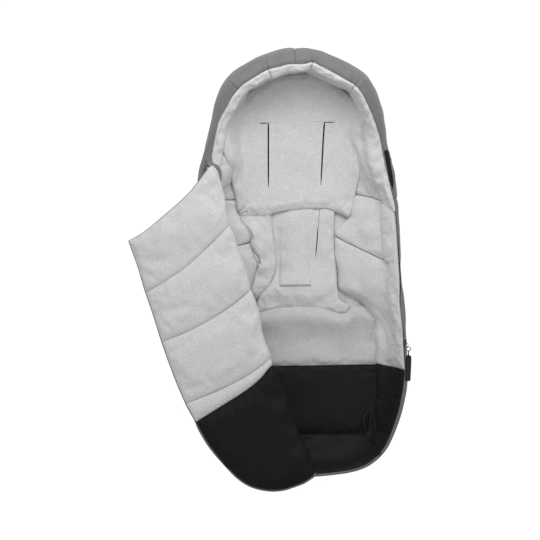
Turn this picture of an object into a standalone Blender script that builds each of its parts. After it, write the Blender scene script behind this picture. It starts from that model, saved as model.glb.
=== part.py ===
"""Padded stroller footmuff, lying on its back with the front cover thrown over to one side.

The back rests on the XY plane, the head end is at +Y, the foot end at -Y and +Z is up.
The origin is the middle of the back's underside. All sizes are in metres.

The muff is one shell around an outline. A station is a place on that outline, and each station
carries two curves, the outside and the inside of the wall. Shell, padding and lining are slabs
between these two curves, and the floor pieces end on the inside curve's foot.
"""

import math

import bmesh
import bpy
from mathutils import Matrix, Vector
from mathutils.bvhtree import BVHTree

# Overall sizes
LENGTH = 0.940
WIDTH = 0.460
HOOD_HEIGHT = 0.140
SIDE_HEIGHT = 0.100
STATION_STEP = 0.042

# Cloth and padding
SHELL = 0.0016
LINING = 0.0030
GAP = 0.0003
BACK_PADDING = 0.018
BASE_INSET = 0.010
RIM_WALL = 0.012
ROLL_CROWN = 0.010
PANEL_CROWN = 0.006
HEM_CROWN = 0.009
HEAD_CLIMB = 0.026
BACK_COLUMNS = 8

# Harness slots
SLOT_WIDTH = 0.006
SHOULDER_SLOT_LENGTH = 0.143
SHOULDER_SLOT_SPACING = 0.120
LAP_SLOT_LENGTH = 0.076
LAP_SLOT_SPACING = 0.100
CROTCH_SLOT_LENGTH = 0.058
SLOT_BAR_LENGTH = 0.050
SLOT_BAR_WIDTH = 0.004
SLOT_BAR_THICKNESS = 0.0014
SLOT_BAR_MARGIN = 0.0014
CROTCH_TAB_WIDTH = 0.068
CROTCH_TAB_HEIGHT = 0.026
CROTCH_TAB_THICKNESS = 0.0022
SEAT_PROBES = 7

# Front cover
COVER_THICKNESS = 0.017
FOLD_BULGE = 0.010
COVER_DROOP = 0.036
COVER_DROOP_REACH = 0.150
COVER_EDGE_LAP = 0.0045
PIPING_RADIUS = 0.0021

# Zips
ZIP_TAPE_WIDTH = 0.0060
ZIP_TAPE_THICKNESS = 0.0006
ZIP_OVERHANG = 0.0030
ZIP_TEETH_WIDTH = 0.0032
ZIP_TEETH_HEIGHT = 0.0018
ZIP_STOP_LENGTH = 0.005
RUNNING_GAP = 0.0005
SLIDER_WIDTH = 0.0072
SLIDER_LENGTH = 0.0125
SLIDER_THICKNESS = 0.0026
BRIDGE_WIDTH = 0.0020
BRIDGE_HEIGHT = 0.0034
BRIDGE_LENGTH = 0.0080
BRIDGE_WIRE = 0.0012
RING_RADIUS = 0.0044
RING_WIRE = 0.0006
RING_SIDES = 16
TAB_WIDTH = 0.0114
TAB_LENGTH = 0.056
TAB_THICKNESS = 0.0014
TAB_NECK_WIDTH = 0.0040
TAB_NECK_LENGTH = 0.0050
EYE_OFFSET = 0.0012
PULL_TURN_DEGREES = 30.0
TAB_TURN_DEGREES = 2.0
TAB_SLOPE_DEGREES = 3.0
GARAGE_LENGTH = 0.034
GARAGE_WIDTH = 0.012
GARAGE_THICKNESS = 0.0024

CUT_OVERRUN = 0.020

HALF_WIDTH = WIDTH / 2
HALF_LENGTH = LENGTH / 2
SIDE_SIGNS = (("left", -1), ("right", 1))

# Half width at each share of the length from the head, as a share of half the overall width
OUTLINE_SHARES = (
    (0.000, 0.000), (0.003, 0.160), (0.023, 0.380), (0.056, 0.610), (0.085, 0.718), (0.122, 0.787),
    (0.177, 0.835), (0.232, 0.870), (0.287, 0.905), (0.335, 0.928), (0.400, 0.944), (0.530, 0.973),
    (0.610, 0.991), (0.690, 0.999), (0.784, 1.000), (0.833, 0.966), (0.870, 0.920), (0.910, 0.851),
    (0.943, 0.772), (0.969, 0.650), (0.985, 0.510), (0.995, 0.310), (1.000, 0.000),
)

# Where the inward directions meet: the middles of the round head and of the round foot
HEAD_CENTRE_SHARE = 0.200
FOOT_CENTRE_SHARE = 0.870

# Height of the rim between side height, 0, and hood height, 1
RIM_RISE_SHARES = (
    (0.000, 1.00), (0.050, 0.98), (0.090, 0.90), (0.130, 0.74), (0.170, 0.50),
    (0.210, 0.20), (0.235, 0.05), (0.250, 0.00), (1.000, 0.00),
)

# How far the shell's top edge, and the foot of the inside wall, stand in from the outline,
# as shares of half the width
TOP_INSET_SHARES = (
    (0.000, 0.096), (0.090, 0.110), (0.178, 0.067), (0.230, 0.026), (0.270, 0.018), (1.000, 0.018),
)
FLOOR_INSET_SHARES = (
    (0.000, 0.285), (0.090, 0.268), (0.190, 0.225), (0.273, 0.316), (0.355, 0.402), (0.402, 0.469),
    (0.439, 0.600), (0.565, 0.615), (0.589, 0.500), (0.612, 0.400), (0.643, 0.300), (0.741, 0.278),
    (0.846, 0.258), (0.916, 0.212), (0.960, 0.200), (1.000, 0.165),
)

# The hood's inside stands nearly upright under its roll, and turns into the sloping sides
HOOD_FORM_SHARES = ((0.000, 1.0), (0.240, 1.0), (0.360, 0.0), (1.000, 0.0))

# Where the back's padding climbs into the hood: at its sides, and across its round head end
SIDE_CLIMB_SHARES = ((0.000, 1.0), (0.200, 0.9), (0.360, 0.25), (0.400, 0.0), (1.000, 0.0))
HEAD_CLIMB_SHARES = ((0.060, 1.0), (0.085, 0.62), (0.115, 0.28), (0.150, 0.06), (0.190, 0.0), (1.000, 0.0))

# Outside curve: share of the rise, share of the inset that holds there
OUTER_CURVE_SHARES = ((0.00, 1.00), (0.14, 0.40), (0.40, 0.00), (0.66, 0.12), (0.87, 0.48), (1.00, 1.00))
WIDEST_SHARE = 0.40
# Inside curve: share of the way from the floor's edge to the rim, share of the rise
SIDE_CURVE_SHARES = ((0.00, 0.00), (0.00, 0.24), (0.42, 0.42), (0.78, 0.64), (0.95, 0.86), (1.00, 1.00))
HOOD_CURVE_SHARES = ((0.00, 0.00), (0.00, 0.22), (0.03, 0.42), (0.08, 0.62), (0.34, 0.82), (1.00, 0.98))
ROLL_FIRST = 3
# Rise of the hood's roll over the lining under it, from the rim inwards
ROLL_CREST_SHARES = (0.60, 1.0, 1.0, 0.60)
# The upper panel's folded lower edge: how fast it rises, where it ends and how fast it falls there
UPPER_HEM_REACH = 7.0
HEM_EDGE_SHARE = 0.97
HEM_EDGE_DROP = 12.0

# Seams across the muff, as shares of the length from the head
HOOD_END_SHARE = 0.355
SEAT_TOP_SHARE = 0.3925
WING_SEAM_SHARE = 0.472
SEAT_END_SHARE = 0.6145
BLACK_SHARE = 0.7445
TOE_SEAM_SHARE = 0.902
LEFT_RIM_END_SHARE = 0.256
RIGHT_ZIP_TOP_SHARE = 0.262
# Upper ends of the harness slots, and the zips' sliders, as shares of the length from the head
SHOULDER_SLOT_SHARE = 0.170
LAP_SLOT_SHARE = 0.4085
CROTCH_SLOT_SHARE = 0.556
RIGHT_SLIDER_SHARE = 0.6936
LEFT_SLIDER_SHARE = 0.2787
# Pleats in the hood's roll, as shares of the way round from head to foot: left, right, right
LEFT_PLEAT_SHARE = 0.068
INNER_PLEAT_SHARE = 0.033
OUTER_PLEAT_SHARE = 0.142
PLEAT_DRAW_SHARE = 0.45

# Fold line of the cover, head end and foot end: share of half width, share of half length
FOLD_HEAD_SHARE = (-0.851, 0.458)
FOLD_FOOT_SHARE = (0.090, -0.985)
BASE_RIM_START_SHARE = 0.290
BASE_RIM_END_SHARE = 0.985
# Outline of the folded cover: share of the fold's length along it, and out from the fold's bulge
COVER_HEAD_EDGE_SHARES = ((0.010, 0.000), (0.060, 0.077), (0.100, 0.171), (0.132, 0.255), (0.143, 0.293))
COVER_OUTER_EDGE_SHARES = (
    (0.143, 0.293), (0.226, 0.294), (0.304, 0.295), (0.472, 0.292), (0.672, 0.285), (0.745, 0.275),
    (0.842, 0.256), (0.890, 0.233),
)
COVER_TOE_EDGE_SHARES = ((1.000, 0.000), (1.013, 0.021), (1.019, 0.063), (1.009, 0.125), (0.976, 0.180),
                         (0.932, 0.211), (0.890, 0.233))
# Where the folded cover passes the left wall and starts to hang: along the fold, out from it
COVER_REST_SHARES = ((0.000, 0.085), (0.110, 0.120), (0.420, 0.215), (0.720, 0.295), (1.000, 0.320))
# Rows across the folded cover, at the fold and at the outer edge, and the rows that are quilted
COVER_ROW_SHARES = (
    (0.000, 0.000), (0.100, 0.110), (0.200, 0.222), (0.305, 0.330), (0.410, 0.440), (0.520, 0.580),
    (0.630, 0.713), (0.655, 0.790), (0.770, 0.855), (0.890, 0.925), (1.000, 1.000),
)
COVER_QUILT_ROWS = (0, 2, 4, 6, 7, 10)
COVER_BLACK_ROW = 7
COVER_COLUMNS = 8
QUILT_SHARE = 0.64
EDGE_SHARE = 0.52
BASE_ROWS = 14
BASE_COLUMNS = 4
BASE_BLACK_ROW = 10
FOLD_ARC_STEPS = 6
FOLD_ROWS = 8
BASE_FOLD_SHARES = (0.022, 0.985)
PIPING_SIDES = 6
WIRE_SIDES = 6

SMOOTH_ANGLE_DEGREES = 50.0
MERGE_SHARE = 0.1

SHELL_GREY = (0.235, 0.231, 0.240)
FLEECE_GREY = (0.570, 0.570, 0.565)
FLEECE_SHADE = (0.520, 0.520, 0.515)
BLACK_CLOTH = (0.013, 0.013, 0.014)
WADDING = (0.800, 0.800, 0.780)
PIPING_GREY = (0.150, 0.150, 0.155)
ZIP_BLACK = (0.030, 0.030, 0.032)
STEEL_GREY = (0.420, 0.420, 0.430)
TAB_BLACK = (0.012, 0.012, 0.012)


def clear_scene():
    """Remove every object of the open scene."""
    for old in list(bpy.data.objects):
        bpy.data.objects.remove(old, do_unlink=True)


def finish(name, colour, roughness, metallic=0.0):
    """Make a Principled material."""
    material = bpy.data.materials.new(name)
    material.use_nodes = True
    shader = material.node_tree.nodes["Principled BSDF"]
    shader.inputs["Base Color"].default_value = (*colour, 1.0)
    shader.inputs["Roughness"].default_value = roughness
    shader.inputs["Metallic"].default_value = metallic
    return material


def look_up(table, place):
    """Read a table of (place, value) pairs, straight between its rows."""
    for (low, first), (high, second) in zip(table, table[1:]):
        if place <= high:
            way = max(0.0, (place - low) / (high - low))
            return first + (second - first) * way
    return table[-1][1]


def mix(first, second, way):
    """Value or vector between two others."""
    return first + (second - first) * way


def polyline_at(points, way):
    """Place on a run of points, by the share of its number of steps."""
    steps = len(points) - 1
    i = min(int(way * steps), steps - 1)
    return mix(points[i], points[i + 1], way * steps - i)


def curve_through(knots, before, after, steps):
    """Points of a smooth curve through knots, with a ghost knot at each end."""
    line = [before, *knots, after]
    points = []
    for i in range(1, len(line) - 2):
        a, b, c, d = line[i - 1:i + 3]
        for step in range(steps):
            t = step / steps
            points.append((2 * b + (c - a) * t + (2 * a - 5 * b + 4 * c - d) * t ** 2
                           + (3 * b - a - 3 * c + d) * t ** 3) / 2)
    points.append(knots[-1])
    return points


class Outline:
    """Right half of the muff's outline, read by its share of the way round."""

    STEPS = 12

    def __init__(self):
        knots = [Vector((x * HALF_WIDTH, HALF_LENGTH - y * LENGTH)) for y, x in OUTLINE_SHARES]
        before = Vector((-knots[1].x, knots[1].y))
        after = Vector((-knots[-2].x, knots[-2].y))
        self.points = curve_through(knots, before, after, self.STEPS)
        self.runs = [0.0]
        for first, second in zip(self.points, self.points[1:]):
            self.runs.append(self.runs[-1] + (second - first).length)
        self.half_round = self.runs[-1]

    def at(self, share):
        """Point of the outline at a share of the way from head to foot."""
        goal = share * self.half_round
        for i in range(1, len(self.runs)):
            if goal <= self.runs[i]:
                way = (goal - self.runs[i - 1]) / (self.runs[i] - self.runs[i - 1])
                return mix(self.points[i - 1], self.points[i], way)
        return self.points[-1].copy()

    def share_at(self, down):
        """Share of the way round at a share of the length from the head."""
        goal = HALF_LENGTH - down * LENGTH
        for i in range(1, len(self.points)):
            if self.points[i].y <= goal:
                way = (goal - self.points[i - 1].y) / (self.points[i].y - self.points[i - 1].y)
                return mix(self.runs[i - 1], self.runs[i], way) / self.half_round
        return 1.0


OUTLINE = Outline()
GAP_SHARE = GAP / 2 / OUTLINE.half_round
RISE_FLOOR = SHELL + GAP
PADDING_TOP = RISE_FLOOR + BACK_PADDING


def half_lattice():
    """Shares of the way round where every slab has a station, head to foot."""
    cuts = [0.0, INNER_PLEAT_SHARE, LEFT_PLEAT_SHARE, OUTER_PLEAT_SHARE]
    downs = (LEFT_RIM_END_SHARE, HOOD_END_SHARE, SEAT_TOP_SHARE, WING_SEAM_SHARE, SEAT_END_SHARE,
             BLACK_SHARE, TOE_SEAM_SHARE)
    cuts += [OUTLINE.share_at(down) for down in downs] + [1.0]
    lattice = [0.0]
    for first, second in zip(cuts, cuts[1:]):
        count = max(1, round((second - first) * OUTLINE.half_round / STATION_STEP))
        lattice += [mix(first, second, (i + 1) / count) for i in range(count)]
    return lattice


LATTICE = half_lattice()


class Station:
    """One place on the outline, with the wall's two curves there.

    The loop place runs 0 to 1 down the right side from head to foot, and 1 to 2 up the left.
    """

    def __init__(self, loop):
        loop = loop % 2.0
        self.side = 1 if loop <= 1.0 else -1
        share = loop if loop <= 1.0 else 2.0 - loop
        self.edge = OUTLINE.at(share)
        self.down = (HALF_LENGTH - self.edge.y) / LENGTH
        centre = min(max(self.down, HEAD_CENTRE_SHARE), FOOT_CENTRE_SHARE)
        goal = Vector((0.0, HALF_LENGTH - centre * LENGTH))
        self.inward = (goal - self.edge).normalized()
        self.rim = mix(SIDE_HEIGHT, HOOD_HEIGHT, look_up(RIM_RISE_SHARES, self.down))
        self.top_inset = look_up(TOP_INSET_SHARES, self.down) * HALF_WIDTH
        self.floor_inset = look_up(FLOOR_INSET_SHARES, self.down) * HALF_WIDTH
        self.outer = self._outer_curve()
        self.inner = self._inner_curve()

    def _outer_curve(self):
        curve = []
        for rise, share in OUTER_CURVE_SHARES:
            inset = (BASE_INSET if rise < WIDEST_SHARE else self.top_inset) * share
            curve.append(Vector((inset, mix(RISE_FLOOR, self.rim, rise))))
        return curve

    def _inner_curve(self):
        hood = look_up(HOOD_FORM_SHARES, self.down)
        rim_inset = self.top_inset + RIM_WALL
        curve = []
        for side_pair, hood_pair in zip(SIDE_CURVE_SHARES, HOOD_CURVE_SHARES):
            way = mix(side_pair[0], hood_pair[0], hood)
            rise = mix(side_pair[1], hood_pair[1], hood)
            curve.append(Vector((mix(self.floor_inset, rim_inset, way), mix(RISE_FLOOR, self.rim, rise))))
        return curve

    def place(self, inset, height):
        """World place of a point that stands in from the outline."""
        flat = self.edge + self.inward * inset
        return Vector((self.side * flat.x, flat.y, height))

    def from_outside(self, row, depth):
        """Place on the wall at a depth in from its outside."""
        step = (self.inner[row] - self.outer[row]).normalized() * depth
        return self.place(*(self.outer[row] + step))

    def from_inside(self, row, depth):
        """Place on the wall at a depth out from its inside."""
        step = (self.outer[row] - self.inner[row]).normalized() * depth
        return self.place(*(self.inner[row] + step))


def loop_places(start, end):
    """Loop places of the stations of a piece, with half a gap left free at both ends."""
    full = sorted({*LATTICE, *(-s for s in LATTICE), *(2.0 - s for s in LATTICE)})
    margin = 2 * GAP_SHARE
    inside = [place for place in full if start + margin < place < end - margin]
    return [start + GAP_SHARE, *inside, end - GAP_SHARE]


def add_object(name, mesh, material, pivot=None):
    """Link an object, with its origin moved to the pivot where one is given."""
    mesh.materials.append(material)
    mesh.shade_smooth()
    mesh.set_sharp_from_angle(angle=math.radians(SMOOTH_ANGLE_DEGREES))
    thing = bpy.data.objects.new(name, mesh)
    bpy.context.scene.collection.objects.link(thing)
    if pivot is not None:
        mesh.transform(Matrix.Translation(-pivot))
        thing.location = pivot
    return thing


def mesh_from(name, places, faces):
    """Closed mesh from places and faces, merged and turned outwards."""
    shape = bmesh.new()
    corners = [shape.verts.new(place) for place in places]
    for face in faces:
        shape.faces.new([corners[i] for i in face])
    bmesh.ops.remove_doubles(shape, verts=shape.verts, dist=GAP * MERGE_SHARE)
    bmesh.ops.dissolve_degenerate(shape, dist=GAP * MERGE_SHARE, edges=shape.edges)
    bmesh.ops.recalc_face_normals(shape, faces=shape.faces)
    mesh = bpy.data.meshes.new(name)
    shape.to_mesh(mesh)
    shape.free()
    return mesh


def slab(name, first, second, material, pivot=None):
    """Closed solid between two grids of places with the same rows and columns."""
    rows = len(first)
    columns = len(first[0])
    count = rows * columns
    places = [place for row in first for place in row] + [place for row in second for place in row]
    faces = []
    for i in range(rows - 1):
        for j in range(columns - 1):
            a, b = i * columns + j, i * columns + j + 1
            c, d = b + columns, a + columns
            faces += [(a, b, c), (a, c, d)]
            faces += [(count + a, count + c, count + b), (count + a, count + d, count + c)]
    border = [(0, j) for j in range(columns)] + [(i, columns - 1) for i in range(1, rows)]
    border += [(rows - 1, j) for j in range(columns - 2, -1, -1)] + [(i, 0) for i in range(rows - 2, 0, -1)]
    ring = [i * columns + j for i, j in border]
    for here, after in zip(ring, ring[1:] + ring[:1]):
        faces.append((after, here, count + here, count + after))
    return add_object(name, mesh_from(name, places, faces), material, pivot)


def sweep(name, rings, material, pivot=None):
    """Closed solid through rings with the same number of places, with flat ends."""
    size = len(rings[0])
    places = [place for ring in rings for place in ring]
    faces = [tuple(reversed(range(size)))]
    for i in range(len(rings) - 1):
        for j in range(size):
            after = (j + 1) % size
            faces.append((i * size + j, i * size + after, (i + 1) * size + after, (i + 1) * size + j))
    faces.append(tuple((len(rings) - 1) * size + j for j in range(size)))
    return add_object(name, mesh_from(name, places, faces), material, pivot)


def plate(name, outline, low, high, material):
    """Flat solid over a closed outline of flat places."""
    size = len(outline)
    places = [Vector((p.x, p.y, low)) for p in outline] + [Vector((p.x, p.y, high)) for p in outline]
    faces = [tuple(reversed(range(size))), tuple(range(size, 2 * size))]
    for j in range(size):
        after = (j + 1) % size
        faces.append((j, after, size + after, size + j))
    return add_object(name, mesh_from(name, places, faces), material)


def block(name, low, high, material, pivot=None):
    """Box between two corners."""
    corners = ((low.x, low.y), (high.x, low.y), (high.x, high.y), (low.x, high.y))
    outline = [Vector(corner) for corner in corners]
    thing = plate(name, outline, low.z, high.z, material)
    if pivot is not None:
        thing.data.transform(Matrix.Translation(-pivot))
        thing.location = pivot
    return thing


def cut(thing, cutter):
    """Cut a hidden cutter out of an object."""
    cutter.hide_render = True
    cutter.display_type = "WIRE"
    boolean = thing.modifiers.new("cut_" + cutter.name, "BOOLEAN")
    boolean.operation = "DIFFERENCE"
    boolean.solver = "EXACT"
    boolean.object = cutter


class Walls:
    """Shell, padding and lining of the wall round the muff."""

    def __init__(self, looks):
        self.looks = looks

    def _grids(self, start, end, near, far):
        stations = [Station(place) for place in loop_places(start, end)]
        rows = range(len(OUTER_CURVE_SHARES))
        return [[[edge(station, row) for row in rows] for station in stations] for edge in (near, far)]

    def shell(self, name, start, end):
        """Outer cloth."""
        near, far = self._grids(start, end, lambda s, r: s.from_outside(r, 0.0),
                                lambda s, r: s.from_outside(r, SHELL))
        slab(name, near, far, self.looks["shell"])

    def padding(self, name, start, end):
        """Wadding between shell and lining."""
        near, far = self._grids(start, end, lambda s, r: s.from_outside(r, SHELL + GAP),
                                lambda s, r: s.from_inside(r, LINING + GAP))
        slab(name, near, far, self.looks["wadding"])

    def lining(self, name, start, end, look):
        """Cloth of the inside."""
        near, far = self._grids(start, end, lambda s, r: s.from_inside(r, LINING),
                                lambda s, r: s.from_inside(r, 0.0))
        slab(name, near, far, self.looks[look])

    def roll(self, name, start, end):
        """Fleece roll on the shoulder of the hood's lining, drawn in at its pleated ends."""
        rings = []
        places = loop_places(start, end)
        for i, place in enumerate(places):
            station = Station(place)
            shoulder = station.inner[ROLL_FIRST:]
            lift = Vector((1.0, 1.0)).normalized() * GAP * 2
            under = [point + lift for point in shoulder]
            drawn = PLEAT_DRAW_SHARE if i in (0, len(places) - 1) else 1.0
            chord = under[-1] - under[0]
            out = Vector((chord.y, -chord.x)).normalized() * ROLL_CROWN * drawn
            crest = []
            for k, share in enumerate(ROLL_CREST_SHARES):
                way = (k + 1) / (len(ROLL_CREST_SHARES) + 1)
                crest.append(polyline_at(under[::-1], way) + out * share)
            rings.append([station.place(*point) for point in under + crest])
        sweep(name, rings, self.looks["fleece"])

    def strip(self, name, run, inset, width, heights, look):
        """Band on the rim, from an inset of the shell's top edge and heights over the rim."""
        rings = []
        low, high = heights
        for place in loop_places(*run):
            station = Station(place)
            near = station.top_inset + inset
            corners = ((near, low), (near + width, low), (near + width, high), (near, high))
            rings.append([station.place(across, station.rim + up) for across, up in corners])
        sweep(name, rings, self.looks[look])

    def build(self):
        """Make every wall piece."""
        hood = OUTLINE.share_at(HOOD_END_SHARE)
        wing = OUTLINE.share_at(WING_SEAM_SHARE)
        seat = OUTLINE.share_at(SEAT_END_SHARE)
        black = OUTLINE.share_at(BLACK_SHARE)
        toe = OUTLINE.share_at(TOE_SEAM_SHARE)
        self.shell("hood_shell_right", 0.0, hood)
        self.shell("hood_shell_left", -hood, 0.0)
        self.padding("hood_padding", -hood, hood)
        self.lining("hood_lining", -hood, hood, "fleece")
        self.shell("toe_shell", toe, 2.0 - toe)
        self.padding("toe_padding", toe, 2.0 - toe)
        self.lining("foot_wall_lining", black, 2.0 - black, "black")
        for side, ends in (("right", lambda a, b: (a, b)), ("left", lambda a, b: (2.0 - b, 2.0 - a))):
            self.shell("side_shell_" + side, *ends(hood, toe))
            self.padding("side_padding_" + side, *ends(hood, toe))
            self.lining("wing_lining_" + side, *ends(hood, wing), "fleece")
            self.lining("hip_lining_" + side, *ends(wing, seat), "fleece")
            self.lining("leg_wall_lining_" + side, *ends(seat, black), "fleece")
        left_end = OUTLINE.share_at(LEFT_RIM_END_SHARE)
        self.roll("rim_roll_left", -left_end, -LEFT_PLEAT_SHARE)
        self.roll("rim_roll_top", -LEFT_PLEAT_SHARE, INNER_PLEAT_SHARE)
        self.roll("rim_roll_upper_right", INNER_PLEAT_SHARE, OUTER_PLEAT_SHARE)
        self.roll("rim_facing_right", OUTER_PLEAT_SHARE, hood)


class Floor:
    """Back shell, back padding and the lining panels, with the slots for the harness."""

    def __init__(self, looks):
        self.looks = looks

    @staticmethod
    def _edge(inset):
        """Flat places all round the muff, at an inset from the outline."""
        flat = [Station(place).place(inset, 0.0) for place in LATTICE]
        return flat + [Vector((-p.x, p.y, 0.0)) for p in reversed(flat[1:-1])]

    @staticmethod
    def _bed(y, across):
        """Height of the padding's top at a place across a row."""
        down = (HALF_LENGTH - y) / LENGTH
        side = look_up(SIDE_CLIMB_SHARES, down)
        head = look_up(HEAD_CLIMB_SHARES, down)
        return PADDING_TOP + HEAD_CLIMB * side * (1 - (1 - across ** 4) * (1 - head))

    def _rows(self, start, end, low, high):
        """Lower and upper places over the floor between two loop places.

        The heights read the shares along and across and the height of the padding's top.
        """
        stations = [Station(place) for place in loop_places(start, end)]
        first = stations[0].edge.y
        span = stations[-1].edge.y - first
        bottom, top = [], []
        for station in stations:
            corner = station.place(station.floor_inset + GAP, 0.0)
            along = (station.edge.y - first) / span
            lower, upper = [], []
            for j in range(BACK_COLUMNS + 1):
                across = 2 * j / BACK_COLUMNS - 1
                bed = self._bed(corner.y, across)
                lower.append(Vector((corner.x * across, corner.y, low(along, across, bed))))
                upper.append(Vector((corner.x * across, corner.y, high(along, across, bed))))
            bottom.append(lower)
            top.append(upper)
        return bottom, top

    def _panel(self, name, start, end, crown, look):
        """Lining panel on the padding; crown gives its height over a flat lining."""
        rows = self._rows(start, end, lambda u, v, bed: bed + GAP,
                          lambda u, v, bed: bed + GAP + LINING + crown(u, v))
        return slab(name, *rows, self.looks[look])

    def _slot_cutter(self, name, across, head_share, width, length):
        centre = Vector((across, HALF_LENGTH - head_share * LENGTH - length / 2, 0.0))
        reach = Vector((width / 2, length / 2, 0.0))
        up = Vector((0.0, 0.0, CUT_OVERRUN))
        top = Vector((0.0, 0.0, PADDING_TOP + HEAD_CLIMB + LINING + HEM_CROWN + PANEL_CROWN))
        return block(name, centre - reach - up, centre + reach + top + up, self.looks["wadding"])

    def build(self):
        """Make the floor pieces."""
        back = plate("back_shell", self._edge(BASE_INSET), 0.0, SHELL, self.looks["shell"])
        rows = self._rows(0.0, 1.0, lambda u, v, bed: RISE_FLOOR, lambda u, v, bed: bed)
        padding = slab("back_padding", *rows, self.looks["wadding"])
        hood_top = OUTLINE.share_at(SEAT_TOP_SHARE)
        seat_end = OUTLINE.share_at(SEAT_END_SHARE)
        black = OUTLINE.share_at(BLACK_SHARE)
        toe = OUTLINE.share_at(TOE_SEAM_SHARE)

        def upper_crown(along, across):
            hem = max(0.0, 1 - (1 - along) * UPPER_HEM_REACH)
            edge = 1 - max(0.0, along - HEM_EDGE_SHARE) * HEM_EDGE_DROP
            flat = PANEL_CROWN * (1 - across ** 4) * (1 - along ** 6)
            return flat + HEM_CROWN * hem * (1 - across ** 6) * edge

        def seat_crown(along, across):
            return PANEL_CROWN * (1 - across ** 4) * math.sqrt(math.sin(math.pi * along))

        def flat_crown(along, across):
            return PANEL_CROWN / 2 * (1 - across ** 2) * math.sin(math.pi * along)

        upper = self._panel("upper_back_lining", 0.0, hood_top, upper_crown, "fleece")
        seat = self._panel("seat_lining", hood_top, seat_end, seat_crown, "fleece")
        self._panel("leg_lining", seat_end, black, flat_crown, "fleece_shade")
        self._panel("foot_lining", black, toe, flat_crown, "black")
        self._panel("toe_lining", toe, 1.0, flat_crown, "black")

        for side, sign in SIDE_SIGNS:
            shoulder = self._slot_cutter("shoulder_slot_cutter_" + side, SHOULDER_SLOT_SPACING * sign / 2,
                                         SHOULDER_SLOT_SHARE, SLOT_WIDTH, SHOULDER_SLOT_LENGTH)
            lap = self._slot_cutter("lap_slot_cutter_" + side, LAP_SLOT_SPACING * sign / 2,
                                    LAP_SLOT_SHARE, SLOT_WIDTH, LAP_SLOT_LENGTH)
            for thing in (back, padding, upper):
                cut(thing, shoulder)
            for thing in (back, padding, seat):
                cut(thing, lap)
        crotch = self._slot_cutter("crotch_slot_cutter", 0.0, CROTCH_SLOT_SHARE, CROTCH_SLOT_LENGTH, SLOT_WIDTH)
        for thing in (back, padding, seat):
            cut(thing, crotch)

        bar = Vector((SLOT_BAR_LENGTH, SLOT_BAR_WIDTH, SLOT_BAR_THICKNESS))
        for side, sign in SIDE_SIGNS:
            across = SHOULDER_SLOT_SPACING * sign / 2
            foot = Vector((across, HALF_LENGTH - SHOULDER_SLOT_SHARE * LENGTH + SLOT_BAR_MARGIN))
            self._sewn_on("slot_bar_" + side, foot, bar, upper)
        tab = Vector((CROTCH_TAB_WIDTH, CROTCH_TAB_HEIGHT, CROTCH_TAB_THICKNESS))
        foot = Vector((0.0, HALF_LENGTH - CROTCH_SLOT_SHARE * LENGTH + SLOT_BAR_MARGIN))
        self._sewn_on("crotch_tab", foot, tab, seat)

    def _sewn_on(self, name, foot, size, panel):
        """Flat strip resting on a panel, with the middle of its lower edge at foot."""
        mesh = panel.data
        tree = BVHTree.FromPolygons([v.co for v in mesh.vertices], [p.vertices for p in mesh.polygons])
        level = 0.0
        for i in range(SEAT_PROBES):
            for j in range(SEAT_PROBES):
                x = foot.x + size.x * (i / (SEAT_PROBES - 1) - 1 / 2)
                y = foot.y + size.y * j / (SEAT_PROBES - 1)
                hit = tree.ray_cast(Vector((x, y, HOOD_HEIGHT)), Vector((0.0, 0.0, -1.0)))[0]
                level = max(level, hit.z if hit else 0.0)
        low = Vector((foot.x - size.x / 2, foot.y, level + GAP))
        block(name, low, low + size, self.looks["fleece_shade"])


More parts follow.
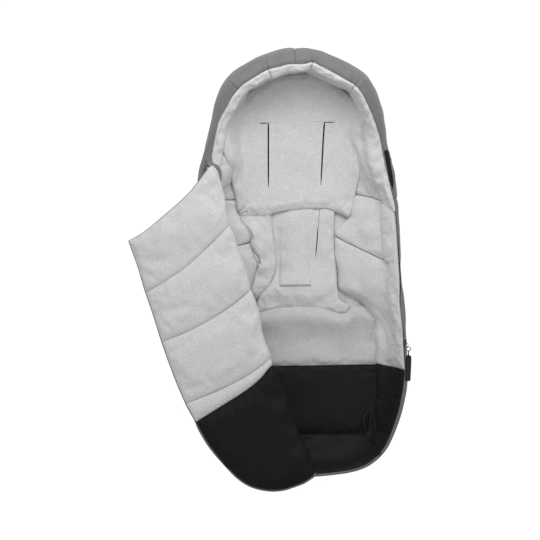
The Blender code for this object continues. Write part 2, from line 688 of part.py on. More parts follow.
class Cover:
    """Front cover: the part still on the left wall, the folded part and the roll between them."""

    def __init__(self, looks):
        self.looks = looks
        head = Vector((FOLD_HEAD_SHARE[0] * HALF_WIDTH, FOLD_HEAD_SHARE[1] * HALF_LENGTH))
        foot = Vector((FOLD_FOOT_SHARE[0] * HALF_WIDTH, FOLD_FOOT_SHARE[1] * HALF_LENGTH))
        self.length = (foot - head).length
        self.along = (foot - head).normalized()
        self.out = Vector((self.along.y, -self.along.x))
        self.head = head
        self.low = SIDE_HEIGHT + GAP
        self.level = self.low + COVER_THICKNESS
        self.pivot = Vector((*self.flat(0.0, FOLD_BULGE / self.length), self.level))

    def flat(self, along, out):
        """Flat place from shares of the fold's length along it and out from it."""
        return self.head + self.along * (along * self.length) + self.out * (out * self.length)

    def _droop(self, place):
        """How far the folded part hangs at a flat place, past the left wall."""
        from_head = place - self.head
        along = from_head.dot(self.along) / self.length
        past = from_head.dot(self.out) - look_up(COVER_REST_SHARES, along) * self.length
        return COVER_DROOP * (max(0.0, past) / COVER_DROOP_REACH) ** 2

    def _patch(self, along, out):
        """Flat place inside the folded part's four edges."""
        fold = mix(Vector(COVER_HEAD_EDGE_SHARES[0]), Vector(COVER_TOE_EDGE_SHARES[0]), along)
        outer = self._read(COVER_OUTER_EDGE_SHARES, along)
        head = self._read(COVER_HEAD_EDGE_SHARES, out)
        toe = self._read(COVER_TOE_EDGE_SHARES, out)
        near = mix(Vector(COVER_HEAD_EDGE_SHARES[0]), Vector(COVER_HEAD_EDGE_SHARES[-1]), out)
        far = mix(Vector(COVER_TOE_EDGE_SHARES[0]), Vector(COVER_TOE_EDGE_SHARES[-1]), out)
        share = mix(fold, outer, out) + mix(head, toe, along) - mix(near, far, along)
        return self.flat(share.x, share.y + (FOLD_BULGE + GAP / 2) / self.length)

    @staticmethod
    def _read(edge, share):
        """Place at a share of the length of an edge."""
        points = [Vector(point) for point in edge]
        runs = [0.0]
        for first, second in zip(points, points[1:]):
            runs.append(runs[-1] + (second - first).length)
        goal = share * runs[-1]
        for i in range(1, len(points)):
            if goal <= runs[i]:
                return mix(points[i - 1], points[i], (goal - runs[i - 1]) / (runs[i] - runs[i - 1]))
        return points[-1]

    def _cover_lattice(self):
        """Rows of flat places and of thickness over the folded part."""
        flats, thick = [], []
        last = len(COVER_ROW_SHARES) - 1
        for i, (at_fold, at_edge) in enumerate(COVER_ROW_SHARES):
            row, depths = [], []
            for j in range(COVER_COLUMNS + 1):
                out = j / COVER_COLUMNS
                row.append(self._patch(mix(at_fold, at_edge, out), out))
                share = QUILT_SHARE if i in COVER_QUILT_ROWS else 1.0
                if i in (0, last) or j == COVER_COLUMNS:
                    share = EDGE_SHARE
                depths.append(COVER_THICKNESS * share)
            flats.append(row)
            thick.append(depths)
        return flats, thick

    def _layer(self, name, rows, heights, look):
        """Slab over some rows of the folded part; heights gives two heights from the thickness."""
        near, far = [], []
        for row, depths in rows:
            bases = [self.level + GAP / 2 - self._droop(place) for place in row]
            pairs = [heights(depth) for depth in depths]
            near.append([Vector((*p, base + pair[0])) for p, base, pair in zip(row, bases, pairs)])
            far.append([Vector((*p, base + pair[1])) for p, base, pair in zip(row, bases, pairs)])
        return slab(name, near, far, self.looks[look], self.pivot)

    def build_folded(self):
        """Shell, padding, linings and trimmed edge of the folded part."""
        flats, thick = self._cover_lattice()
        rows = list(zip(flats, thick))
        self._layer("cover_shell", rows, lambda t: (0.0, SHELL), "shell")
        self._layer("cover_padding", rows, lambda t: (SHELL + GAP, t - LINING - GAP), "wadding")
        seam = COVER_BLACK_ROW
        nudge = GAP / self.length
        before, after = self._split_row(seam, -nudge), self._split_row(seam, nudge)
        self._layer("cover_lining", rows[:seam] + [before], lambda t: (t - LINING, t), "fleece")
        self._layer("cover_foot_lining", [after] + rows[seam + 1:], lambda t: (t - LINING, t), "black")
        self._trim("cover_piping", flats, thick)

    def _split_row(self, index, nudge):
        """Row of the folded part, moved a little along the fold."""
        at_fold, at_edge = COVER_ROW_SHARES[index]
        row, depths = [], []
        for j in range(COVER_COLUMNS + 1):
            out = j / COVER_COLUMNS
            row.append(self._patch(mix(at_fold, at_edge, out) + nudge, out))
            depths.append(COVER_THICKNESS * (EDGE_SHARE if j == COVER_COLUMNS else QUILT_SHARE))
        return row, depths

    def _trim(self, name, flats, thick):
        """Piping round the free edges of the folded part."""
        route = [(row[-1], depths[-1]) for row, depths in zip(flats, thick)]
        toe = list(zip(reversed(flats[-1]), reversed(thick[-1])))
        route += toe[1:]
        rings = []
        for i, (place, depth) in enumerate(route):
            before = route[max(i - 1, 0)][0]
            after = route[min(i + 1, len(route) - 1)][0]
            run = (after - before).normalized()
            side = Vector((run.y, -run.x))
            base = self.level + GAP / 2 - self._droop(place) + depth / 2
            middle = Vector((*(place + side * (PIPING_RADIUS + 2 * GAP)), base))
            ring = []
            for k in range(PIPING_SIDES):
                turn = 2 * math.pi * k / PIPING_SIDES
                ring.append(middle + Vector((*(side * math.cos(turn)), math.sin(turn))) * PIPING_RADIUS)
            rings.append(ring)
        sweep(name, rings, self.looks["piping"], self.pivot)

    def _base_lattice(self):
        """Rows of flat places over the part that stays on the left wall."""
        rows = []
        start = 2.0 - OUTLINE.share_at(BASE_RIM_START_SHARE)
        end = 1.0 + (1.0 - BASE_RIM_END_SHARE)
        for i in range(BASE_ROWS + 1):
            share = i / BASE_ROWS
            out = (FOLD_BULGE + 2 * GAP) / self.length
            fold = self.flat(mix(BASE_FOLD_SHARES[0], BASE_FOLD_SHARES[1], share), out)
            station = Station(mix(start, end, share))
            rim = station.place(station.top_inset + RIM_WALL - COVER_EDGE_LAP, 0.0)
            edge = Vector((rim.x, rim.y))
            rows.append([mix(fold, edge, j / BASE_COLUMNS) for j in range(BASE_COLUMNS + 1)])
        return rows

    def build_base(self):
        """Lining, padding and shell of the part that stays on the left wall."""
        rows = self._base_lattice()

        def heights(low, high):
            near = [[Vector((*p, low(i, j))) for j, p in enumerate(row)] for i, row in enumerate(rows)]
            far = [[Vector((*p, high(i, j))) for j, p in enumerate(row)] for i, row in enumerate(rows)]
            return near, far

        def top(i, j):
            edge = i in (0, BASE_ROWS) or j == BASE_COLUMNS
            return self.low + COVER_THICKNESS * (EDGE_SHARE if edge else 1.0) - GAP / 2

        near, far = heights(lambda i, j: top(i, j) - SHELL, top)
        slab("cover_base_shell", near, far, self.looks["shell"])
        near, far = heights(lambda i, j: self.low + LINING + GAP, lambda i, j: top(i, j) - SHELL - GAP)
        slab("cover_base_padding", near, far, self.looks["wadding"])
        near, far = heights(lambda i, j: self.low, lambda i, j: self.low + LINING)
        seam = BASE_BLACK_ROW
        step = GAP / (near[seam + 1][0] - near[seam][0]).length
        near_seam = [mix(a, b, step) for a, b in zip(near[seam], near[seam + 1])]
        far_seam = [mix(a, b, step) for a, b in zip(far[seam], far[seam + 1])]
        slab("cover_base_lining", near[:seam + 1], far[:seam + 1], self.looks["fleece"])
        slab("cover_base_foot_lining", [near_seam] + near[seam + 1:], [far_seam] + far[seam + 1:],
             self.looks["black"])

    def build_fold(self):
        """Roll of cloth round the fold, between the two parts."""
        rings = []
        for share in BASE_FOLD_SHARES:
            ring = []
            for k in range(FOLD_ARC_STEPS + 1):
                turn = math.pi * k / FOLD_ARC_STEPS - math.pi / 2
                out = (FOLD_BULGE * (1 - math.cos(turn)) - GAP) / self.length
                height = self.level + COVER_THICKNESS * QUILT_SHARE * math.sin(turn)
                ring.append(Vector((*self.flat(share, out), height)))
            rings.append(ring)
        middle = [[mix(a, b, i / FOLD_ROWS) for a, b in zip(*rings)] for i in range(FOLD_ROWS + 1)]
        sweep("cover_fold_roll", middle, self.looks["fleece"], self.pivot)


class Zips:
    """Tapes, teeth, stops, sliders and pulls of the two zips, and the flap over the right one."""

    def __init__(self, looks, walls):
        self.looks = looks
        self.walls = walls

    def build(self):
        """Make the zip pieces."""
        right_top = OUTLINE.share_at(RIGHT_ZIP_TOP_SHARE)
        left_top = 2.0 - OUTLINE.share_at(LEFT_RIM_END_SHARE)
        stop = ZIP_STOP_LENGTH / OUTLINE.half_round
        tape_high = GAP + ZIP_TAPE_THICKNESS
        teeth_low = tape_high + GAP
        teeth_high = teeth_low + ZIP_TEETH_HEIGHT
        for side, start, end in (("right", right_top, 1.0), ("left", 1.0, left_top)):
            self.walls.strip("zip_tape_" + side, (start, end), -ZIP_OVERHANG, ZIP_TAPE_WIDTH,
                             (GAP, tape_high), "zip")
            teeth = (start + stop, end) if side == "right" else (start, end - stop)
            ends = (start, start + stop) if side == "right" else (end - stop, end)
            for name, run, look in (("zip_teeth_", teeth, "zip"), ("zip_stop_", ends, "steel")):
                self.walls.strip(name + side, run, -ZIP_OVERHANG, ZIP_TEETH_WIDTH,
                                 (teeth_low, teeth_high), look)
        self._garage(right_top)
        level = SIDE_HEIGHT + teeth_high + RUNNING_GAP
        self._slider("right", 1, RIGHT_SLIDER_SHARE, level, True)
        self._slider("left", -1, LEFT_SLIDER_SHARE, level, False)

    def _garage(self, top):
        """Grey flap beside the top of the right zip."""
        length = GARAGE_LENGTH / OUTLINE.half_round
        inset = ZIP_TAPE_WIDTH - ZIP_OVERHANG + GAP
        self.walls.strip("zip_garage", (top, top + length), inset, GARAGE_WIDTH - inset,
                         (GAP, GARAGE_THICKNESS), "shell")

    def _slider(self, side, sign, head_share, level, tabbed):
        station = Station(sign * OUTLINE.share_at(head_share))
        seat = station.place(station.top_inset - ZIP_OVERHANG + ZIP_TEETH_WIDTH / 2, level)
        half = Vector((SLIDER_WIDTH / 2, SLIDER_LENGTH / 2, 0.0))
        shape = bmesh.new()
        self._add_box(shape, seat - half, seat + half + Vector((0.0, 0.0, SLIDER_THICKNESS)))
        roof = seat.z + SLIDER_THICKNESS
        for end in (-1, 1):
            post = Vector((seat.x, seat.y + end * (BRIDGE_LENGTH - BRIDGE_WIRE) / 2, 0.0))
            reach = Vector((BRIDGE_WIDTH / 2, BRIDGE_WIRE / 2, 0.0))
            low = Vector((0.0, 0.0, roof - BRIDGE_WIRE))
            high = Vector((0.0, 0.0, roof + BRIDGE_HEIGHT - BRIDGE_WIRE / 2))
            self._add_box(shape, post - reach + low, post + reach + high)
        reach = Vector((BRIDGE_WIDTH / 2, BRIDGE_LENGTH / 2, 0.0))
        bar = Vector((seat.x, seat.y, roof + BRIDGE_HEIGHT - BRIDGE_WIRE))
        self._add_box(shape, bar - reach, bar + reach + Vector((0.0, 0.0, BRIDGE_WIRE)))
        mesh = bpy.data.meshes.new("zip_slider_" + side)
        shape.to_mesh(mesh)
        shape.free()
        slider = add_object("zip_slider_" + side, mesh, self.looks["steel"], seat)
        join = slider.modifiers.new("join", "BOOLEAN")
        join.operation = "UNION"
        join.solver = "EXACT"
        join.use_self = True
        join.object = self._core(side, seat)
        self._ring(side, sign, seat, roof, tabbed)

    def _core(self, side, seat):
        """Small hidden block inside a slider, which lets the union join the slider's own boxes."""
        reach = Vector((BRIDGE_WIRE, BRIDGE_WIRE, BRIDGE_WIRE)) / 2
        middle = seat + Vector((0.0, 0.0, SLIDER_THICKNESS / 2))
        core = block("slider_core_" + side, middle - reach, middle + reach, self.looks["steel"])
        core.hide_render = True
        core.display_type = "WIRE"
        return core

    @staticmethod
    def _add_box(shape, low, high):
        box = bmesh.ops.create_cube(shape, size=2)
        for vert in box["verts"]:
            vert.co = Vector((mix(a, b, (unit + 1) / 2) for a, b, unit in zip(low, high, vert.co)))

    def _ring(self, side, sign, seat, roof, tabbed):
        """Wire ring through the slider's bridge, lying outwards and footwards."""
        turn = math.radians(PULL_TURN_DEGREES)
        lie = Vector((sign * math.sin(turn), -math.cos(turn), 0.0))
        across = Vector((lie.y, -lie.x, 0.0))
        eye = Vector((seat.x, seat.y - EYE_OFFSET, roof + (BRIDGE_HEIGHT - BRIDGE_WIRE) / 2))
        centre = eye + lie * RING_RADIUS
        rings = []
        for i in range(RING_SIDES):
            angle = 2 * math.pi * i / RING_SIDES
            spoke = lie * math.cos(angle) + across * math.sin(angle)
            ring = []
            for k in range(WIRE_SIDES):
                turn = 2 * math.pi * k / WIRE_SIDES
                up = Vector((0.0, 0.0, RING_WIRE * math.sin(turn)))
                ring.append(centre + spoke * (RING_RADIUS + RING_WIRE * math.cos(turn)) + up)
            rings.append(ring)
        size = len(rings[0])
        faces = []
        for i in range(RING_SIDES):
            after = (i + 1) % RING_SIDES
            for j in range(size):
                nxt = (j + 1) % size
                faces.append((i * size + j, i * size + nxt, after * size + nxt, after * size + j))
        places = [place for ring in rings for place in ring]
        add_object("pull_ring_" + side, mesh_from("pull_ring", places, faces), self.looks["steel"], eye)
        if tabbed:
            self._tab(centre)

    def _tab(self, centre):
        """Woven pull tab that hangs from the footward side of the ring."""
        turn = math.radians(TAB_TURN_DEGREES)
        slope = math.radians(TAB_SLOPE_DEGREES)
        lie = Vector((math.sin(turn), -math.cos(turn), -math.sin(slope))).normalized()
        across = Vector((-lie.y, lie.x, 0.0)).normalized()
        eye = centre + Vector((lie.x, lie.y, 0.0)).normalized() * RING_RADIUS
        thick = across.cross(lie) * TAB_THICKNESS / 2
        rows = ((RING_WIRE + GAP, TAB_NECK_WIDTH), (TAB_NECK_LENGTH / 2, TAB_NECK_WIDTH),
                (TAB_NECK_LENGTH, TAB_WIDTH), (TAB_LENGTH, TAB_WIDTH))
        ends = [[eye + lie * run + across * width * sign / 2 for sign in (-1, 1)] for run, width in rows]
        near = [[end - thick for end in row] for row in ends]
        far = [[end + thick for end in row] for row in ends]
        slab("pull_tab_right", near, far, self.looks["tab"], eye)


def main():
    """Build the footmuff."""
    clear_scene()
    looks = {
        "shell": finish("shell_cloth", SHELL_GREY, 0.75),
        "fleece": finish("fleece", FLEECE_GREY, 0.95),
        "fleece_shade": finish("fleece_shade", FLEECE_SHADE, 0.95),
        "black": finish("black_cloth", BLACK_CLOTH, 0.70),
        "wadding": finish("wadding", WADDING, 0.95),
        "piping": finish("piping", PIPING_GREY, 0.80),
        "zip": finish("zip_tape", ZIP_BLACK, 0.70),
        "steel": finish("slider_metal", STEEL_GREY, 0.35, 0.9),
        "tab": finish("woven_tab", TAB_BLACK, 0.80),
    }
    walls = Walls(looks)
    walls.build()
    Floor(looks).build()
    cover = Cover(looks)
    cover.build_base()
    cover.build_folded()
    cover.build_fold()
    Zips(looks, walls).build()


main()
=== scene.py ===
"""Looks of a padded stroller footmuff that lies open on its back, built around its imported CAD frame.

The muff is one sack around an outline. A loop place runs 0 to 1 down its right side from head to
foot and 1 to 2 up its left side. A way runs up the wall: 0 at the floor and 1 at the rim. Places on
the floor are shares: across, of half the width, and down, of the length from the head.
"""

import logging
import math
from dataclasses import dataclass, field
from enum import Enum
from functools import cache
from typing import Callable, Optional, Sequence

import bmesh
import bpy
import numpy as np
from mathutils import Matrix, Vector
from mathutils.bvhtree import BVHTree


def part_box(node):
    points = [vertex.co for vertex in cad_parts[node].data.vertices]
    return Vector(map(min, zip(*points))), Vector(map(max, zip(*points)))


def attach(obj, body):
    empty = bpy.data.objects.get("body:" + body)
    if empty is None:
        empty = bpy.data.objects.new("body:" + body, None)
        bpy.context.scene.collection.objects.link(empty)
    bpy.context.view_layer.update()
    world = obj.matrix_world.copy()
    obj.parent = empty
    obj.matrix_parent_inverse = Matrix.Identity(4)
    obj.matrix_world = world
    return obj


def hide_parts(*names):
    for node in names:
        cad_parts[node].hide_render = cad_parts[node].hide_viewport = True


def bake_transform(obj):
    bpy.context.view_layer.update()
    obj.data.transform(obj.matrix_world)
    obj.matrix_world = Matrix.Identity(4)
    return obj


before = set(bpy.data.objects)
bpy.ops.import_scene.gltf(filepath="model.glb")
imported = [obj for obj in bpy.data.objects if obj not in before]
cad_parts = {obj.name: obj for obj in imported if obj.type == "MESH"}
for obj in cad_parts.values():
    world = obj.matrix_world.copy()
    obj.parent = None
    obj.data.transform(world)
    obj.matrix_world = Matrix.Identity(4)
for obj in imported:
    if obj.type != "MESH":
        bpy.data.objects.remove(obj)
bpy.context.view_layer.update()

LOG = logging.getLogger("footmuff")

Array = np.ndarray
Socket = bpy.types.NodeSocket
Thing = bpy.types.Object
Table = tuple[tuple[float, ...], ...]

# ---------------------------------------------------------------- sizes read from the frame
HALF_WIDTH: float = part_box("side_shell_right")[1].x
HEAD_END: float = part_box("hood_shell_right")[1].y
FOOT_END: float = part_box("toe_shell")[0].y
LENGTH: float = HEAD_END - FOOT_END
HOOD_HEIGHT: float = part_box("hood_shell_right")[1].z
SIDE_HEIGHT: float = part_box("side_shell_right")[1].z
SHELL_LOW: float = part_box("side_shell_right")[0].z
FLOOR_LOW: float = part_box("seat_lining")[0].z
MM = 0.001


def in_mm(*rows: tuple[float, float]) -> Table:
    """Table of places and of values that are given in millimetres."""
    return tuple((place, value * MM) for place, value in rows)


# ---------------------------------------------------------------- outline and walls, as in the frame
OUTLINE_SHARES: Table = (
    (0, 0), (0.003, 0.16), (0.023, 0.38), (0.056, 0.61), (0.085, 0.718), (0.122, 0.787), (0.177, 0.835),
    (0.232, 0.87), (0.287, 0.905), (0.335, 0.928), (0.4, 0.944), (0.53, 0.973), (0.61, 0.991), (0.69, 0.999),
    (0.784, 1), (0.833, 0.966), (0.8705, 0.923), (0.9108, 0.858), (0.945, 0.782), (0.9735, 0.662),
    (0.9903, 0.517), (0.9993, 0.312), (1.0043, 0),
)
HEAD_CENTRE_SHARE = 0.200
FOOT_CENTRE_SHARE = 0.870
RIM_RISE_SHARES: Table = (
    (0, 1), (0.05, 0.98), (0.09, 0.9), (0.13, 0.74), (0.17, 0.5), (0.21, 0.2), (0.235, 0.05), (0.25, 0), (1, 0),
)
TOP_INSET_SHARES: Table = (
    (0, 0.096), (0.09, 0.11), (0.178, 0.067), (0.23, 0.026), (0.27, 0.018), (1, 0.018),
)
FLOOR_INSET_SHARES: Table = (
    (0, 0.197), (0.045, 0.203), (0.09, 0.206), (0.12, 0.193), (0.163, 0.192), (0.19, 0.212), (0.273, 0.316),
    (0.355, 0.402), (0.402, 0.469), (0.439, 0.6), (0.563, 0.605), (0.579, 0.505), (0.598, 0.408),
    (0.625, 0.314), (0.648, 0.264), (0.741, 0.264), (0.846, 0.24), (0.88, 0.205), (0.916, 0.17), (0.96, 0.175),
    (1, 0.165),
)
# How far the left side's floor reaches out under the roll, by share of the length, in metres
LEFT_TUCK: Table = (
    (0, 0), (0.1, 0), (0.14, 0.008), (0.175, 0.0125), (0.21, 0.01), (0.26, 0), (0.34, 0), (0.38, 0.024),
    (0.402, 0.021), (0.424, 0.023), (0.45, 0.024), (0.475, 0.015), (0.497, 0.009), (0.514, 0.013), (0.54, 0.02),
    (0.566, 0.024), (0.585, 0.004), (0.6, 0), (1, 0),
)
# Where fleece and outer cloth meet, by share of the length: metres in from the outline
RIGHT_HEM: Table = (
    (0, 0.0385), (0.0038, 0.0318), (0.012, 0.0348), (0.028, 0.0372), (0.05, 0.0382), (0.068, 0.0365),
    (0.12, 0.033), (0.163, 0.0262), (0.229, 0.0189), (0.269, 0.0185), (0.331, 0.0135), (0.381, 0.007),
    (0.44, 0.0064), (0.54, 0.0068), (0.602, 0.0105), (0.635, 0.0092), (0.673, 0.0068), (0.735, 0.0055),
    (0.76, 0.004), (1, 0.004),
)
LEFT_HEM: Table = (
    (0, 0.0385), (0.006, 0.0382), (0.019, 0.0345), (0.045, 0.0362), (0.068, 0.0355), (0.118, 0.03),
    (0.175, 0.0165), (0.243, 0.0115), (0.3, 0.0085), (0.381, 0.0064), (0.735, 0.0058), (0.76, 0.004),
    (1, 0.004),
)
HOOD_FORM_SHARES: Table = ((0, 1), (0.24, 1), (0.36, 0), (1, 0))
SIDE_CLIMB_SHARES: Table = ((0, 1), (0.2, 0.9), (0.36, 0.25), (0.4, 0), (1, 0))
HEAD_CLIMB_SHARES: Table = (
    (0, 1), (0.06, 1), (0.085, 0.62), (0.115, 0.28), (0.15, 0.06), (0.19, 0), (1, 0),
)
# How high the floor climbs into the hood, the share across where it is up, and how far past that it goes on
CLIMB = 26 * MM
CLIMB_SPAN_SHARE = 0.62
CLIMB_LIMIT = 1.15
# Outside of the wall, by row: share of the rise, share of the inset that holds there
OUTER_CURVE_SHARES: Table = (
    (0, 1), (0.14, 0.4), (0.4, 0), (0.66, 0.12), (0.87, 0.48), (1, 1),
)
WIDEST_SHARE = 0.40
# Inside of the wall, by row: share of the way from the floor's edge to the rim, share of the rise
SIDE_CURVE_SHARES: Table = (
    (0, 0), (0, 0.24), (0.42, 0.42), (0.78, 0.64), (0.95, 0.86), (1, 0.97), (1, 1),
)
HOOD_CURVE_SHARES: Table = (
    (0, 0), (0, 0.22), (0.03, 0.42), (0.08, 0.62), (0.34, 0.82), (0.92, 0.96), (1, 0.98),
)

# ---------------------------------------------------------------- seams, as shares of the length
HOOD_END_SHARE = 0.355
BLACK_SHARE = 0.7468
RIM_BLACK_SHARE = 0.758
TOE_SEAM_SHARE = 0.902
LEFT_RIM_END_SHARE = 0.256
LEFT_PLEAT_SHARE = 0.068
INNER_PLEAT_SHARE = 0.033
OUTER_PLEAT_SHARE = 0.142

FOLD_HEAD_SHARE = (-0.851, 0.458)
FOLD_FOOT_SHARE = (0.09, -0.985)


class Direction(Enum):
    """Side of a piece that shows."""

    UP = "up"
    IN = "in"
    OUT = "out"
    DOWN = "down"


class Face(Enum):
    """Side of the wall."""

    OUTER = "outer"
    INNER = "inner"


class Repeat(Enum):
    """Small shape that a Geometry Nodes row repeats."""

    STITCH = "stitch"
    TOOTH = "tooth"


# ---------------------------------------------------------------- reading tables and mixing places
def read(table: Sequence[Sequence[float]], place: Array | float) -> Array:
    """Read a table of (place, value) rows along a smooth curve that never overshoots.

    Args:
        table: Rows with rising places.
        place: Where to read it.

    Returns:
        The values, in the shape of place.
    """
    spots, values = np.array([row[:2] for row in table], float).T
    gaps = np.diff(spots)
    rises = np.diff(values) / gaps
    slopes = np.concatenate((rises[:1], np.zeros(len(rises) - 1), rises[-1:]))
    product = rises[:-1] * rises[1:]
    total = np.where(product > 0, rises[:-1] + rises[1:], 1.0)
    slopes[1:-1] = np.where(product > 0, 2 * product / total, 0.0)
    place = np.asarray(place, float)
    i = np.clip(np.searchsorted(spots, place, side="right") - 1, 0, len(gaps) - 1)
    t = clamp((place - spots[i]) / gaps[i])
    first = values[i] * (1 + 2 * t) * (1 - t) ** 2 + gaps[i] * slopes[i] * t * (1 - t) ** 2
    return first + values[i + 1] * t * t * (3 - 2 * t) + gaps[i] * slopes[i + 1] * t * t * (t - 1)


def by_row(values: Sequence[float], row: Array) -> Array:
    """Read a list of values, one a row, between its rows."""
    return read(tuple(enumerate(values)), row)


def mix(first: Array | float, second: Array | float, way: Array | float) -> Array:
    """Value between two others."""
    return first + (second - first) * way


def unit(vectors: Array) -> Array:
    """Vectors with a length of 1."""
    return vectors / np.maximum(np.linalg.norm(vectors, axis=-1, keepdims=True), 1e-12)


def spread(count: int, ends: float = 0.8) -> Array:
    """Shares from 0 to 1 that stand closer near both ends.

    Args:
        count: How many steps there are.
        ends: How much closer, from 0 to below 1.

    Returns:
        count + 1 rising shares.
    """
    even = evenly(count + 1)
    return even - ends * np.sin(2 * math.pi * even) / (2 * math.pi)


def clamp(value: Array | float) -> Array:
    """Value kept from 0 to 1."""
    return np.clip(value, 0.0, 1.0)


def evenly(count: int) -> Array:
    """Even shares from 0 to 1."""
    return np.linspace(0.0, 1.0, count)


def arc(way: Array | float) -> Array:
    """Quarter-round rise from 0 to 1 along a way that stops at both."""
    return np.sqrt(1 - (1 - clamp(way)) ** 2)


def on_floor(across: Array, down: Array) -> Array:
    """World x and y of places given as shares."""
    return np.stack(np.broadcast_arrays(across * HALF_WIDTH, HEAD_END - down * LENGTH), axis=-1)


def down_of(flat: Array) -> Array:
    """Share of the length from the head at world places."""
    return (HEAD_END - flat[..., 1]) / LENGTH


def shares_of(flat: Array) -> list[list[float]]:
    """World places as a list of (across, down) shares."""
    return np.stack((flat[..., 0] / HALF_WIDTH, down_of(flat)), axis=-1).tolist()


def mirrored(edge: Sequence[Sequence[float]]) -> Table:
    """Edge given as (across, down) shares, on the other side of the muff."""
    return tuple((-across, down) for across, down in edge)


def at_height(flat: Array, height: Array | float) -> Array:
    """World places at heights over flat ones."""
    return np.concatenate((flat[..., :2], np.broadcast_to(height, flat.shape[:-1])[..., None]), axis=-1)


def along_edge(edge: Sequence[Sequence[float]], shares: Array) -> Array:
    """Places at shares of the length of an edge, smoothly joined."""
    points = np.array(edge, float)
    runs = np.concatenate(([0.0], np.cumsum(np.linalg.norm(np.diff(points, axis=0), axis=1))))
    return np.stack([read(tuple(zip(runs, points[:, k])), shares * runs[-1]) for k in range(points.shape[1])], axis=-1)


def line_and_side(line: Table, shares: Array) -> tuple[Array, Array]:
    """Flat places along a line given as (across, down) shares, and the direction aside of it.

    Args:
        line: The line's points.
        shares: Shares of its length.

    Returns:
        The places, and unit vectors square to the line there.
    """
    points = on_floor(*along_edge(line, shares).T)
    run = unit(np.gradient(points, axis=0))
    return points, np.stack((-run[:, 1], run[:, 0]), axis=-1)


@dataclass(frozen=True)
class Crease:
    """Soft dent along a line on a piece, seen from above.

    Attributes:
        line: Places along it, as (across, down) shares.
        width: Half width of the dent in metres.
        depth: How deep it is in metres; below 0 it is a ridge.
    """

    line: Table
    width: float
    depth: float

    def at(self, flat: Array) -> Array:
        """Depth of the dent at world places."""
        points = on_floor(*np.array(self.line, float).T)
        nearest = np.full(flat.shape[:-1], 1.0)
        for start, end in zip(points, points[1:]):
            run = end - start
            way = clamp(((flat - start) @ run) / (run @ run))
            nearest = np.minimum(nearest, np.linalg.norm(flat - start - way[..., None] * run, axis=-1))
        return self.depth * np.exp(-(nearest / self.width) ** 2)


def crease(width: float, depth: float, *line: tuple[float, float]) -> Crease:
    """Crease along (across, down) shares, of a half width and a depth in millimetres."""
    return Crease(line, width * MM, depth * MM)


def ripples(u: Array, v: Array, seed: int, length: float, height: float) -> Array:
    """Soft uneven swell of cloth.

    Args:
        u: Places in metres.
        v: Places in metres, across u.
        seed: Seed of the swell's directions and phases.
        length: Mean length of a wave in metres.
        height: Mean height in metres.

    Returns:
        Heights in metres.
    """
    draw = np.random.default_rng(seed)
    total = np.zeros(np.broadcast(u, v).shape)
    for _ in range(7):
        angle, phase = draw.uniform(0, math.pi), draw.uniform(0, 2 * math.pi)
        rate = 2 * math.pi / (length * draw.uniform(0.6, 1.8))
        bend = 0.6 * np.sin(rate * 0.37 * (u * math.sin(angle) - v * math.cos(angle)) + phase * 3)
        total += np.sin(rate * (u * math.cos(angle) + v * math.sin(angle)) + phase + bend)
    return total * height / 2.6


def puckers(u: Array, v: Array, seed: int, count: int, length: float, depth: float) -> Array:
    """Short soft creases at random places in a unit-free field.

    Args:
        u: Places in metres.
        v: Places in metres, across u.
        seed: Seed of their places.
        count: How many there are.
        length: Mean length in metres.
        depth: Mean depth in metres.

    Returns:
        Depths in metres.
    """
    draw = np.random.default_rng(seed)
    low_u, high_u, low_v, high_v = u.min(), u.max(), v.min(), v.max()
    total = np.zeros(np.broadcast(u, v).shape)
    for _ in range(count):
        at_u, at_v = draw.uniform(low_u, high_u), draw.uniform(low_v, high_v)
        angle, size = draw.uniform(0, math.pi), length * draw.uniform(0.5, 1.5)
        along = (u - at_u) * math.cos(angle) + (v - at_v) * math.sin(angle)
        aside = (v - at_v) * math.cos(angle) - (u - at_u) * math.sin(angle)
        aside = aside + 0.12 * along ** 2 / size
        total += depth * draw.uniform(0.4, 1.4) * np.exp(-(aside / (size * 0.13)) ** 2 - (along / size) ** 2)
    return total


# ---------------------------------------------------------------- the sack's surfaces
@dataclass
class Stations:
    """Places on the outline: edge, inward direction and what the tables say there."""

    edge: Array
    inward: Array
    down: Array
    rim: Array
    top_inset: Array
    floor_inset: Array
    hem: Array

    def flat(self, inset: Array) -> Array:
        """Flat places that stand in from the outline."""
        return self.edge + self.inward * np.asarray(inset)[..., None]

    def place(self, inset: Array, height: Array) -> Array:
        """World places that stand in from the outline."""
        return at_height(self.flat(inset), height)


